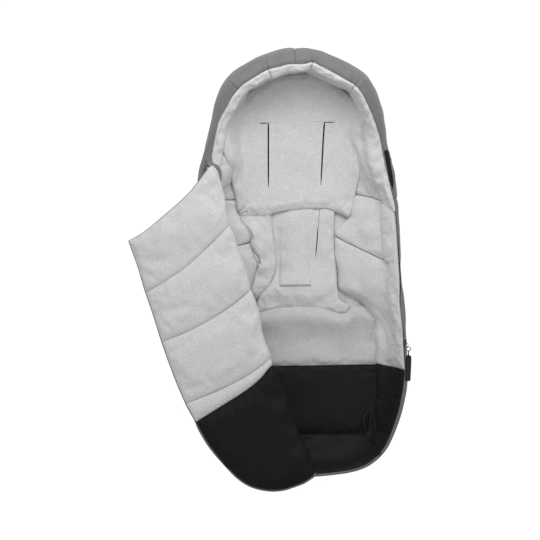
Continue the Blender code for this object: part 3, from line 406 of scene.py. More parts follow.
@dataclass
class Sack:
    """Outline and wall curves of the muff, read at any place round it."""

    samples: int = 1200
    knot_steps: int = 12
    base_inset: float = 0.010
    hem_turn: float = 4.5 * MM

    def __post_init__(self) -> None:
        """Run the outline's curve once and keep it."""
        knots = [np.array((x * HALF_WIDTH, HEAD_END - y * LENGTH)) for y, x in OUTLINE_SHARES]
        turn = np.array((-1, 1))
        line = [knots[1] * turn, *knots, knots[-2] * turn]
        points = []
        for a, b, c, d in zip(line, line[1:], line[2:], line[3:]):
            for t in np.arange(self.knot_steps) / self.knot_steps:
                bend = (2 * a - 5 * b + 4 * c - d) * t ** 2 + (3 * b - a - 3 * c + d) * t ** 3
                points.append((2 * b + (c - a) * t + bend) / 2)
        points = np.array([*points, knots[-1]])
        runs = np.concatenate(([0.0], np.cumsum(np.linalg.norm(np.diff(points, axis=0), axis=1))))
        self.half_round = runs[-1]
        self.share = evenly(self.samples + 1)
        self.edge = np.stack([np.interp(self.share * runs[-1], runs, points[:, k]) for k in (0, 1)], axis=-1)
        self.down = down_of(self.edge)
        centre = np.clip(self.down, HEAD_CENTRE_SHARE, FOOT_CENTRE_SHARE)
        goal = np.stack((np.zeros_like(centre), HEAD_END - centre * LENGTH), axis=-1)
        self.inward = unit(goal - self.edge)
        self.phase = self._phase(self.edge)

    @staticmethod
    def _phase(flat: Array) -> Array:
        """Place of a point between the rays of the sack: 0 to 1 round the head, to 2 along, to 3 round the foot."""
        down = down_of(flat)
        head = HEAD_END - HEAD_CENTRE_SHARE * LENGTH
        foot = HEAD_END - FOOT_CENTRE_SHARE * LENGTH
        aside = np.abs(flat[..., 0])
        round_head = np.arctan2(aside, np.maximum(flat[..., 1] - head, 1e-9)) * 2 / math.pi
        round_foot = 3 - np.arctan2(aside, np.maximum(foot - flat[..., 1], 1e-9)) * 2 / math.pi
        along = 1 + (down - HEAD_CENTRE_SHARE) / (FOOT_CENTRE_SHARE - HEAD_CENTRE_SHARE)
        return np.where(along < 1, round_head, np.where(along > 2, round_foot, along))

    def locate(self, flat: Array) -> tuple[Array, Array]:
        """Loop place and distance in from the outline of world places."""
        share = np.interp(self._phase(flat), self.phase, self.share)
        loop = np.where(flat[..., 0] >= 0, share, 2.0 - share)
        at = self.stations(loop)
        return loop, ((flat[..., :2] - at.edge) * at.inward).sum(-1)

    def share_at(self, down: Array | float) -> Array:
        """Share of the way round at a share of the length from the head."""
        return np.interp(down, self.down, self.share)

    def stations(self, loop: Array) -> Stations:
        """Stations at loop places."""
        loop = np.mod(np.asarray(loop, float), 2.0)
        side = np.where(loop <= 1.0, 1.0, -1.0)
        share = np.where(loop <= 1.0, loop, 2.0 - loop)
        flip = np.stack((side, np.ones_like(side)), axis=-1)
        edge = np.stack([np.interp(share, self.share, self.edge[:, k]) for k in (0, 1)], axis=-1) * flip
        inward = np.stack([np.interp(share, self.share, self.inward[:, k]) for k in (0, 1)], axis=-1) * flip
        down = np.interp(share, self.share, self.down)
        rim = mix(SIDE_HEIGHT, HOOD_HEIGHT, read(RIM_RISE_SHARES, down))
        top = read(TOP_INSET_SHARES, down) * HALF_WIDTH
        floor = read(FLOOR_INSET_SHARES, down) * HALF_WIDTH - np.where(side < 0, read(LEFT_TUCK, down), 0.0)
        hem = np.where(side > 0, read(RIGHT_HEM, down), read(LEFT_HEM, down))
        return Stations(edge, unit(inward), down, rim, top, floor, hem)

    def profile(self, at: Stations, way: Array, face: Face) -> tuple[Array, Array]:
        """Inset and height of the wall's curve.

        Args:
            at: Stations, in the shape of way.
            way: Ways up the wall.
            face: Outside or inside.

        Returns:
            Distances in from the outline and heights.
        """
        if face is Face.OUTER:
            row = np.asarray(way) * len(OUTER_CURVE_SHARES)
            last = len(OUTER_CURVE_SHARES) - 1
            over = clamp(row - last)
            rise = by_row([pair[0] for pair in OUTER_CURVE_SHARES], np.minimum(row, last))
            share = by_row([pair[1] for pair in OUTER_CURVE_SHARES], np.minimum(row, last))
            inset = np.where(rise < WIDEST_SHARE, self.base_inset, at.top_inset) * share
            inset = inset + over * np.maximum(at.hem + 1.5 * MM - at.top_inset, 0.0)
            crown = 3.0 * MM * np.sin(math.pi * over) * clamp((at.hem - at.top_inset) / (9 * MM))
            return inset, mix(SHELL_LOW, at.rim, rise) + crown
        row = np.asarray(way) * (len(SIDE_CURVE_SHARES) - 1)
        hood = read(HOOD_FORM_SHARES, at.down)
        sides = [by_row([pair[k] for pair in SIDE_CURVE_SHARES], row) for k in (0, 1)]
        hoods = [by_row([pair[k] for pair in HOOD_CURVE_SHARES], row) for k in (0, 1)]
        inset = mix(at.floor_inset, at.hem + self.hem_turn, mix(sides[0], hoods[0], hood))
        inset = inset - clamp(row - len(SIDE_CURVE_SHARES) + 2) ** 2 * self.hem_turn
        return inset, mix(SHELL_LOW, at.rim, mix(sides[1], hoods[1], hood))

    def wall(self, loop: Array, way: Array, face: Face) -> Array:
        """World places on the wall at loop places and ways of the same shape."""
        at = self.stations(loop)
        return at.place(*self.profile(at, way, face))

    def wall_height(self, loop: Array, inset: Array, steps: int = 48) -> Array:
        """Height of the inside wall at flat distances in from the outline.

        Args:
            loop: Loop places.
            inset: Distances in metres, in the same shape.
            steps: How finely each wall is searched.

        Returns:
            The heights.
        """
        ways = np.linspace(1 / (len(SIDE_CURVE_SHARES) - 1), 1.0, steps)
        grid_loop, grid_way = np.meshgrid(np.ravel(loop), ways, indexing="ij")
        insets, heights = self.profile(self.stations(grid_loop), grid_way, Face.INNER)
        found = [np.interp(-x, -row, high) for x, row, high in zip(np.ravel(inset), insets, heights)]
        return np.array(found).reshape(np.shape(loop))

    def ground(self, flat: Array) -> Array:
        """Height of the floor's wadding, or of the wall's lining where a place lies over that."""
        loop, inset = self.locate(flat)
        inside = inset >= self.stations(loop).floor_inset
        return np.where(inside, floor_height(flat), self.wall_height(loop, inset))


SACK = Sack()


def floor_height(flat: Array) -> Array:
    """Height of the floor's wadding at world places, which climbs into the hood."""
    down = down_of(flat)
    side = read(SIDE_CLIMB_SHARES, down)
    head = read(HEAD_CLIMB_SHARES, down)
    across = np.clip(np.abs(flat[..., 0]) / (CLIMB_SPAN_SHARE * HALF_WIDTH), 0.0, CLIMB_LIMIT)
    return FLOOR_LOW + CLIMB * side * (1 - (1 - across ** 4) * (1 - head))


# ---------------------------------------------------------------- finishes
class Nodes:
    """Short way to build one material's node tree."""

    def __init__(self, name: str) -> None:
        """Start a material with its Principled shader."""
        self.material = bpy.data.materials.new(name)
        self.material.use_nodes = True
        self.tree = self.material.node_tree
        self.shader = self.tree.nodes["Principled BSDF"]

    def add(self, kind: str, **values: object) -> bpy.types.Node:
        """Add a node and set its fields and sockets.

        Args:
            kind: Node type.
            values: Fields by name, and sockets by name with _ for a space, or by i and their number.

        Returns:
            The node.
        """
        node = self.tree.nodes.new(kind)
        for name, value in values.items():
            if hasattr(node, name) and not isinstance(value, Socket):
                setattr(node, name, value)
                continue
            socket = node.inputs[int(name[1:])] if name[0] == "i" and name[1:].isdigit() else None
            self.put(socket or node.inputs[name.replace("_", " ")], value)
        return node

    def put(self, socket: Socket, value: object) -> None:
        """Link a socket, or set its value."""
        if isinstance(value, Socket):
            self.tree.links.new(value, socket)
        else:
            socket.default_value = value

    def coordinates(self, output: str = "Object") -> Socket:
        """Coordinates of the piece."""
        return self.add("ShaderNodeTexCoord").outputs[output]

    def noise(self, where: Socket, size: float, detail: float = 2.0) -> Socket:
        """Noise with spots of about a size in metres."""
        return self.add("ShaderNodeTexNoise", Vector=where, Scale=1 / size, Detail=detail).outputs["Fac"]

    def ramp(self, value: Socket, low: float, high: float) -> Socket:
        """Stretch a value between two levels to 0 and 1."""
        return self.add("ShaderNodeMapRange", interpolation_type="SMOOTHSTEP", Value=value, From_Min=low,
                        From_Max=high).outputs["Result"]

    def between(self, value: Socket, low: float, high: float) -> Socket:
        """Stretch a value from 0 and 1 to two levels."""
        return self.add("ShaderNodeMapRange", Value=value, To_Min=low, To_Max=high).outputs["Result"]

    def blend(self, way: object, first: object, second: object) -> Socket:
        """Mix two colours."""
        node = self.add("ShaderNodeMix", data_type="RGBA")
        given = {("Factor", "VALUE"): way, ("A", "RGBA"): first, ("B", "RGBA"): second}
        for socket in node.inputs:
            if (socket.name, socket.type) in given:
                self.put(socket, given[socket.name, socket.type])
        return next(socket for socket in node.outputs if socket.type == "RGBA")

    def sum(self, first: object, second: object, operation: str = "ADD") -> Socket:
        """Result of a Math node."""
        return self.add("ShaderNodeMath", operation=operation, i0=first, i1=second).outputs[0]

    def bump(self, height: Socket, depth: float, strength: float) -> None:
        """Bump the shader's normal."""
        node = self.add("ShaderNodeBump", Height=height, Distance=depth, Strength=strength)
        self.tree.links.new(node.outputs["Normal"], self.shader.inputs["Normal"])

    def finish(self, colour: object, roughness: object, **constants: float) -> bpy.types.Material:
        """Set the shader's colour, roughness and constants."""
        self.put(self.shader.inputs["Base Color"], colour)
        self.put(self.shader.inputs["Roughness"], roughness)
        for name, value in constants.items():
            self.shader.inputs[name.replace("_", " ")].default_value = value
        return self.material


def grey(level: float, tint: tuple[float, float, float] = (1.0, 1.0, 1.0)) -> tuple[float, float, float, float]:
    """Colour from a linear level and a tint."""
    return (*(level * t for t in tint), 1.0)


@dataclass(frozen=True)
class Fleece:
    """Brushed fleece of mixed light and dark fibres."""

    name: str
    level: float
    speck: float = 3.2 * MM
    blotch: float = 16 * MM
    nap: float = 0.8 * MM
    worn: float = 0.42

    def material(self) -> bpy.types.Material:
        """Build the material."""
        nodes = Nodes(self.name)
        where = nodes.coordinates()
        specks = nodes.ramp(nodes.noise(where, self.speck, 3.0), 0.34, 0.66)
        blotches = nodes.ramp(nodes.noise(where, self.blotch, 2.0), 0.30, 0.70)
        fibres = nodes.blend(specks, grey(self.level * 0.86), grey(self.level * 1.09, (1.0, 1.0, 0.995)))
        worn = nodes.blend(blotches, grey(self.level * 0.93), grey(self.level * 1.05))
        nap = nodes.noise(where, self.nap, 4.0)
        height = nodes.sum(nap, nodes.sum(specks, 1.5, "MULTIPLY"))
        nodes.bump(height, 0.5 * MM, 0.55)
        return nodes.finish(nodes.blend(self.worn, fibres, worn), nodes.ramp(nap, -0.6, 1.2), Sheen_Weight=0.25,
                            Sheen_Roughness=0.6, Specular_IOR_Level=0.15)


@dataclass(frozen=True)
class Woven:
    """Plain woven cloth whose threads follow the piece's own UV map, in metres."""

    name: str
    level: float
    tint: tuple[float, float, float] = (1.0, 1.0, 1.0)
    thread: float = 0.55 * MM
    roughness: float = 0.62
    shine: float = 0.35
    sheen: float = 0.12
    change: float = 0.10
    depth: float = 0.12 * MM

    def material(self) -> bpy.types.Material:
        """Build the material."""
        nodes = Nodes(self.name)
        where = nodes.coordinates()
        along = nodes.coordinates("UV")
        scale = math.pi / 10 / self.thread
        waves = [nodes.add("ShaderNodeTexWave", bands_direction=axis, Vector=along, Scale=scale, Distortion=0.4,
                           Detail=1.0).outputs["Fac"] for axis in ("X", "Y")]
        weave = nodes.sum(waves[0], waves[1], "MULTIPLY")
        cloud = nodes.ramp(nodes.noise(where, 28 * MM, 3.0), 0.25, 0.75)
        dust = nodes.ramp(nodes.noise(where, 1.6 * MM, 4.0), 0.30, 0.72)
        base = nodes.blend(cloud, grey(self.level * (1 - self.change), self.tint),
                           grey(self.level * (1 + self.change), self.tint))
        threads = nodes.blend(nodes.sum(weave, nodes.sum(dust, 0.6, "MULTIPLY")), grey(self.level * 0.86, self.tint),
                              grey(self.level * 1.16, self.tint))
        colour = nodes.blend(nodes.ramp(weave, -0.6, 1.4), base, threads)
        nodes.bump(nodes.sum(weave, dust), self.depth, 0.5)
        rough = nodes.between(dust, self.roughness - 0.06, self.roughness + 0.10)
        return nodes.finish(colour, rough, Sheen_Weight=self.sheen, Sheen_Roughness=0.4,
                            Specular_IOR_Level=self.shine)


@dataclass(frozen=True)
class Moulded:
    """Plain plastic, such as a zip's teeth."""

    name: str
    level: float
    roughness: float = 0.42

    def material(self) -> bpy.types.Material:
        """Build the material."""
        nodes = Nodes(self.name)
        rub = nodes.ramp(nodes.noise(nodes.coordinates(), 1.2 * MM, 3.0), 0.35, 0.7)
        colour = nodes.blend(rub, grey(self.level * 0.85), grey(self.level * 1.25))
        nodes.bump(rub, 0.05 * MM, 0.3)
        return nodes.finish(colour, self.roughness, Specular_IOR_Level=0.45)


@dataclass(frozen=True)
class Plated:
    """Plated metal with fine scratches."""

    name: str
    level: float

    def material(self) -> bpy.types.Material:
        """Build the material."""
        nodes = Nodes(self.name)
        where = nodes.coordinates()
        rub = nodes.ramp(nodes.noise(where, 0.9 * MM, 5.0), 0.35, 0.75)
        colour = nodes.blend(rub, grey(self.level * 0.8), grey(self.level * 1.15, (1.0, 1.0, 1.02)))
        nodes.bump(rub, 0.03 * MM, 0.25)
        return nodes.finish(colour, nodes.between(rub, 0.30, 0.48), Metallic=1.0)


class Cloth(Enum):
    """Finishes of the muff: the material and the record's slot."""

    FLEECE = (Fleece("brushed_fleece", 0.61), "fleece")
    # Darker copy of the same fleece: painted shade for the leg panel, low in the sack towards the foot.
    FLEECE_LOW = (Fleece("brushed_fleece_low", 0.52), "fleece")
    SHELL = (Woven("outer_weave", 0.165, (1.0, 0.985, 1.02)), "shell_cloth")
    BLACK = (Woven("black_weave", 0.0090, roughness=0.6, shine=0.16, sheen=0.02, thread=0.5 * MM), "black_cloth")
    # Darker copy of the same black weave: painted shade for the cover's black part.
    BLACK_COVER = (Woven("black_weave_cover", 0.0056, roughness=0.6, shine=0.16, sheen=0.02, thread=0.5 * MM),
                   "black_cloth")
    PIPING = (Woven("piping_weave", 0.130, (1.0, 1.0, 1.02), thread=0.4 * MM), "piping")
    TAPE = (Woven("tape_weave", 0.020, thread=0.6 * MM, roughness=0.7), "zip_tape")
    TEETH = (Moulded("coil_plastic", 0.022), "zip_tape")
    METAL = (Plated("plated_metal", 0.11), "slider_metal")
    TAB = (Woven("tab_weave", 0.012, thread=0.7 * MM, roughness=0.75), "woven_tab")
    WADDING = (Fleece("wadding_fibre", 0.72), "wadding")
    DARK_THREAD = (Moulded("dark_thread", 0.07, 0.7), "shell_cloth")

    def material(self) -> bpy.types.Material:
        """Material of this finish, made once."""
        finish, _ = self.value
        return bpy.data.materials.get(finish.name) or finish.material()

    @property
    def slot(self) -> str:
        """Slot of the record."""
        return self.value[1]


# ---------------------------------------------------------------- making meshes
@dataclass(frozen=True)
class Filling:
    """How a padded piece is blown up as cloth.

    Attributes:
        pressure: Pressure of the wadding.
        cap: How far a point may move, in metres.
        slack: How much longer the cloth is than its place, as a share.
        fill: Fullness, from 0 to 1; not used.
        quality: Steps of the simulation in a frame.
        mass: Mass of the cloth's points.
        frames: Frames that it runs for.
    """

    pressure: float = 4.0
    cap: float = 6 * MM
    slack: float = 0.03
    fill: float = 0.5
    quality: int = 4
    mass: float = 0.2
    frames: int = 16


SOFT = Filling(4.0, 4 * MM, 0.02)
FLAT = Filling(3.0, 3 * MM, 0.03)


def grid_normals(places: Array) -> Array:
    """Unit normals of a grid of places."""
    rows = np.gradient(places, axis=0)
    columns = np.gradient(places, axis=1)
    return unit(np.cross(columns, rows))


def facing(places: Array, direction: Direction) -> Array:
    """Unit normals of a grid, on the side that shows."""
    normals = grid_normals(places)
    if direction in (Direction.UP, Direction.DOWN):
        goal = np.array((0.0, 0.0, 1.0 if direction is Direction.UP else -1.0))
        score = (normals * goal).sum(-1).mean()
    else:
        down = np.clip(down_of(places), HEAD_CENTRE_SHARE, FOOT_CENTRE_SHARE)
        centre = np.stack((np.zeros_like(down), HEAD_END - down * LENGTH), axis=-1)
        toward = centre - places[..., :2]
        score = (normals[..., :2] * toward).sum(-1).mean() * (1 if direction is Direction.IN else -1)
    return normals if score > 0 else -normals


def rounded(shape: tuple[int, int], lengths: tuple[Array, Array], reach: float, open_left: bool = False) -> Array:
    """Rounded rise from 0 on the border of a grid to 1 inside it.

    Args:
        shape: Rows and columns.
        lengths: Run along the rows and along the columns, in metres.
        reach: How far in from the border it takes, in metres.
        open_left: Whether the first column isn't a border.

    Returns:
        The rise at each place.
    """
    rows, columns = lengths
    near = np.minimum(np.minimum(rows, rows[-1:] - rows), columns[:, -1:] - columns)
    near = near if open_left else np.minimum(near, columns)
    return arc(near / reach).reshape(shape)


def runs_of(places: Array) -> tuple[Array, Array]:
    """Length run along each column of a grid and along each row of it, in metres."""
    down = np.linalg.norm(np.diff(places, axis=0), axis=-1)
    across = np.linalg.norm(np.diff(places, axis=1), axis=-1)
    rows = np.concatenate((np.zeros((1, places.shape[1])), np.cumsum(down, axis=0)))
    columns = np.concatenate((np.zeros((places.shape[0], 1)), np.cumsum(across, axis=1)), axis=1)
    return rows, columns


def free_name(name: str) -> str:
    """Name for a piece, other than that of the CAD node it stands for."""
    return f"{name}_cloth" if name in bpy.data.objects else name


def placed(name: str, data: bpy.types.ID) -> Thing:
    """Object in the scene with a mesh, a path, a lens or a lamp's light."""
    thing = bpy.data.objects.new(name, data)
    bpy.context.scene.collection.objects.link(thing)
    return thing


def body(name: str, places: Array, faces: list[tuple[int, ...]], cloth: Cloth, uvs: Optional[Array] = None,
         smooth: bool = True) -> Thing:
    """Object from places and faces.

    Args:
        name: Name of the piece.
        places: World places.
        faces: Corners of each face, outward.
        cloth: Finish.
        uvs: UV place of each vertex, in metres.
        smooth: Whether it is smooth-shaded.

    Returns:
        The object.
    """
    name = free_name(name)
    mesh = bpy.data.meshes.new(name)
    mesh.from_pydata(np.asarray(places).reshape(-1, 3).tolist(), [], faces)
    if uvs is not None:
        layer = mesh.uv_layers.new(name="UVMap")
        corners = np.empty(len(mesh.loops), np.int32)
        mesh.loops.foreach_get("vertex_index", corners)
        layer.data.foreach_set("uv", np.asarray(uvs, np.float32).reshape(-1, 2)[corners].ravel())
    if smooth:
        mesh.shade_smooth()
    mesh.materials.append(cloth.material())
    mesh.update()
    return placed(name, mesh)


def sewn(name: str, top: Array, direction: Direction, thickness: float | Array, cloth: Cloth) -> Thing:
    """Closed piece of cloth under a grid of places.

    Args:
        name: Name of the piece.
        top: Places of the side that shows, rows by columns.
        direction: Where that side looks.
        thickness: Thickness in metres, one number or one for each place.
        cloth: Finish.

    Returns:
        The object.
    """
    normals = facing(top, direction)
    under = top - normals * np.broadcast_to(thickness, top.shape[:2])[..., None]
    rows, columns, _ = top.shape
    index = np.arange(rows * columns).reshape(rows, columns)
    quads = np.stack((index[:-1, :-1], index[:-1, 1:], index[1:, 1:], index[1:, :-1]), axis=-1).reshape(-1, 4)
    here = np.cross(top[0, 1] - top[0, 0], top[1, 0] - top[0, 0])
    if here @ normals[0, 0] < 0:
        quads = quads[:, ::-1]
    count = rows * columns
    faces = quads.tolist() + (quads[:, ::-1] + count).tolist()
    ring = [*index[0, :-1], *index[:-1, -1], *index[-1, :0:-1], *index[:0:-1, 0]]
    if here @ normals[0, 0] < 0:
        ring = ring[::-1]
    faces += [(b, a, a + count, b + count) for a, b in zip(ring, ring[1:] + ring[:1])]
    uvs = np.stack(runs_of(top), axis=-1)
    places = np.concatenate((top.reshape(-1, 3), under.reshape(-1, 3)))
    return body(name, places, [tuple(int(k) for k in face) for face in faces], cloth, np.concatenate((uvs, uvs)))


def move_to(thing: Thing, places: Array) -> None:
    """Move an object's vertices to places."""
    thing.data.vertices.foreach_set("co", places.astype(np.float32).ravel())
    thing.data.update()


def settle(thing: Thing) -> Thing:
    """Turn an object's modifiers into its mesh."""
    graph = bpy.context.evaluated_depsgraph_get()
    mesh = bpy.data.meshes.new_from_object(thing.evaluated_get(graph))
    thing.modifiers.clear()
    old = thing.data
    thing.data = mesh
    bpy.data.meshes.remove(old)
    return thing


def places_of(thing: Thing) -> Array:
    """Places of an object's vertices."""
    places = np.empty(len(thing.data.vertices) * 3, np.float32)
    thing.data.vertices.foreach_get("co", places)
    return places.reshape(-1, 3).astype(float)


def fill_up(thing: Thing, free: Array, filling: Filling) -> Thing:
    """Blow a closed piece up as cloth, held where it isn't free.

    Args:
        thing: The piece, whose vertices start with those of its grid.
        free: How free each vertex of the grid is, from 0 to 1.
        filling: Pressure, cap and slack.

    Returns:
        The piece, with the result in its mesh.
    """
    before = places_of(thing)
    hold = np.ones(len(before))
    hold[:free.size] = 1 - free.ravel()
    group = thing.vertex_groups.new(name="held")
    for level in np.unique(np.round(hold, 1)):
        if level > 0:
            group.add([int(i) for i in np.nonzero(np.round(hold, 1) == level)[0]], float(level), "REPLACE")
    cloth = thing.modifiers.new("filling", "CLOTH").settings
    cloth.vertex_group_mass = group.name
    cloth.use_pressure = True
    cloth.uniform_pressure_force = filling.pressure
    cloth.shrink_min = -filling.slack
    cloth.quality = filling.quality
    cloth.mass = filling.mass
    cloth.effector_weights.gravity = 0.0
    scene = bpy.context.scene
    for step in range(1, filling.frames + 1):
        scene.frame_set(step)
    settle(thing)
    scene.frame_set(1)
    thing.vertex_groups.clear()
    moved = places_of(thing) - before
    far = np.linalg.norm(moved, axis=1, keepdims=True)
    move_to(thing, before + moved * np.minimum(1.0, filling.cap / np.maximum(far, 1e-9)))
    return thing


def refine(thing: Thing, levels: int = 1) -> Thing:
    """Subdivide a piece once or more and keep the result."""
    divide = thing.modifiers.new("divide", "SUBSURF")
    divide.levels = levels
    divide.render_levels = levels
    return settle(thing)


def tube_faces(rings: int, sides: int, closed: bool = False) -> list[tuple[int, ...]]:
    """Faces of a tube made of rings of vertices.

    Args:
        rings: How many rings there are.
        sides: Vertices in a ring.
        closed: Whether the last ring joins the first, so that the tube has no ends.

    Returns:
        The corners of each face.
    """
    faces = []
    for i in range(rings if closed else rings - 1):
        here, there = i * sides, (i + 1) % rings * sides
        faces += [(here + j, here + (j + 1) % sides, there + (j + 1) % sides, there + j) for j in range(sides)]
    if not closed:
        faces += [tuple(reversed(range(sides))), tuple(range((rings - 1) * sides, rings * sides))]
    return faces


def tube(name: str, path: Array, radius: float | Array, cloth: Cloth, sides: int = 12, closed: bool = False,
         flat: float = 1.0) -> Thing:
    """Round or flattened tube along a path.

    Args:
        name: Name of the piece.
        path: Places along it.
        radius: Radius, one number or one for each place.
        cloth: Finish.
        sides: Sides round it.
        closed: Whether the path is a ring.
        flat: Height of the section as a share of its width.

    Returns:
        The object.
    """
    runs = np.gradient(path, axis=0) if not closed else np.roll(path, -1, axis=0) - np.roll(path, 1, axis=0)
    runs = unit(runs)
    across = unit(np.cross(runs, np.array((0.0, 0.0, 1.0))))
    up = np.cross(across, runs)
    turns = 2 * math.pi * np.arange(sides) / sides
    radius = np.broadcast_to(radius, len(path))[:, None, None]
    ring = across[:, None, :] * np.cos(turns)[None, :, None] + up[:, None, :] * np.sin(turns)[None, :, None] * flat
    places = path[:, None, :] + ring * radius
    length = np.concatenate(([0.0], np.cumsum(np.linalg.norm(np.diff(path, axis=0), axis=1))))
    uvs = np.stack(np.broadcast_arrays(length[:, None], turns[None, :] * radius[:, :, 0]), axis=-1)
    return outward(body(name, places, tube_faces(len(path), sides, closed), cloth, uvs))


def outward(thing: Thing) -> Thing:
    """Turn a closed mesh's faces outwards."""
    shape = bmesh.new()
    shape.from_mesh(thing.data)
    bmesh.ops.recalc_face_normals(shape, faces=shape.faces)
    shape.to_mesh(thing.data)
    shape.free()
    return thing


def dress(thing: Thing, rides: str = "muff", replaces: Sequence[str] = ()) -> Thing:
    """Put a finished piece on its body and hide the CAD nodes that it stands for.

    Args:
        thing: The piece.
        rides: Body that it moves with.
        replaces: CAD nodes that it stands for.

    Returns:
        The piece.
    """
    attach(thing, rides)
    if replaces:
        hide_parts(*replaces)
    LOG.info("%s: %d faces on %s", thing.name, len(thing.data.polygons), rides)
    return thing


# ---------------------------------------------------------------- rows by Geometry Nodes
@dataclass(frozen=True)
class Row:
    """Small shape that Geometry Nodes repeats along a path."""

    repeat: Repeat
    spacing: float
    length: float
    width: float
    height: float

    def tree(self, cloth: Cloth) -> bpy.types.NodeTree:
        """Node tree that resamples the path and puts the shape on its points."""
        tree = bpy.data.node_groups.new(f"row_of_{self.repeat.value}", "GeometryNodeTree")
        face = tree.interface
        face.new_socket("Path", in_out="INPUT", socket_type="NodeSocketGeometry")
        for name in ("Spacing", "Unevenness"):
            face.new_socket(name, in_out="INPUT", socket_type="NodeSocketFloat")
        face.new_socket("Seed", in_out="INPUT", socket_type="NodeSocketInt")
        face.new_socket("Row", in_out="OUTPUT", socket_type="NodeSocketGeometry")
        new = tree.nodes.new
        start, end = new("NodeGroupInput"), new("NodeGroupOutput")
        points = new("GeometryNodeResampleCurve")
        points.mode = "LENGTH"
        kind, sizes = (("UVSphere", {"Segments": 6, "Rings": 5, "Radius": 0.5}) if self.repeat is Repeat.STITCH else
                       ("Cylinder", {"Vertices": 8, "Radius": 0.5, "Depth": 1.0}))
        shape = new(f"GeometryNodeMesh{kind}")
        for name, value in sizes.items():
            shape.inputs[name].default_value = value
        turned, sized = new("GeometryNodeTransform"), new("GeometryNodeTransform")
        if self.repeat is Repeat.TOOTH:
            turned.inputs["Rotation"].default_value = (math.pi / 2, 0.0, 0.0)
        sized.inputs["Scale"].default_value = (self.length, self.width, self.height)
        tangent, turn = new("GeometryNodeInputTangent"), new("FunctionNodeAlignRotationToVector")
        turn.axis, turn.pivot_axis = "X", "Z"
        jitter = new("FunctionNodeRandomValue")
        jitter.data_type = "FLOAT"
        least, most = [s for s in jitter.inputs if s.type == "VALUE" and s.enabled]
        scale = next(s for s in jitter.outputs if s.type == "VALUE" and s.enabled)
        for operation, limit in (("SUBTRACT", least), ("ADD", most)):
            node = new("ShaderNodeMath")
            node.operation = operation
            node.inputs[0].default_value = 1.0
            tree.links.new(start.outputs["Unevenness"], node.inputs[1])
            tree.links.new(node.outputs[0], limit)
        puts, real = new("GeometryNodeInstanceOnPoints"), new("GeometryNodeRealizeInstances")
        paint = new("GeometryNodeSetMaterial")
        paint.inputs["Material"].default_value = cloth.material()
        tree.links.new(scale, puts.inputs["Scale"])
        for first, output, last, socket in (
            (start, "Path", points, "Curve"), (start, "Spacing", points, "Length"), (start, "Seed", jitter, "Seed"),
            (shape, "Mesh", turned, "Geometry"), (turned, "Geometry", sized, "Geometry"),
            (tangent, "Tangent", turn, "Vector"), (points, "Curve", puts, "Points"),
            (sized, "Geometry", puts, "Instance"), (turn, "Rotation", puts, "Rotation"),
            (puts, "Instances", real, "Geometry"), (real, "Geometry", paint, "Geometry"),
            (paint, "Geometry", end, "Row"),
        ):
            tree.links.new(first.outputs[output], last.inputs[socket])
        return tree

    def along(self, name: str, path: Array, cloth: Cloth, rides: str = "muff", stands_for: Sequence[str] = (),
              unevenness: float = 0.08, seed: int = 5) -> Thing:
        """Make the row along a path and keep it as one mesh."""
        line = bpy.data.curves.new(name + "_path", "CURVE")
        line.dimensions = "3D"
        spline = line.splines.new("POLY")
        spline.points.add(len(path) - 1)
        spline.points.foreach_set("co", np.concatenate((path, np.ones((len(path), 1))), axis=1).ravel())
        thing = placed(name + "_path", line)
        tree = self.tree(cloth)
        nodes = thing.modifiers.new("row", "NODES")
        nodes.node_group = tree
        given = {"Spacing": self.spacing, "Unevenness": unevenness, "Seed": seed}
        for item in tree.interface.items_tree:
            if item.item_type == "SOCKET" and item.in_out == "INPUT" and item.name in given:
                nodes[item.identifier] = given[item.name]
        graph = bpy.context.evaluated_depsgraph_get()
        mesh = bpy.data.meshes.new_from_object(thing.evaluated_get(graph))
        bpy.data.objects.remove(thing)
        mesh.name = free_name(name)
        mesh.shade_smooth()
        return dress(placed(mesh.name, mesh), rides, stands_for)


STITCHES = Row(Repeat.STITCH, 3.4 * MM, 2.5 * MM, 0.8 * MM, 0.6 * MM)


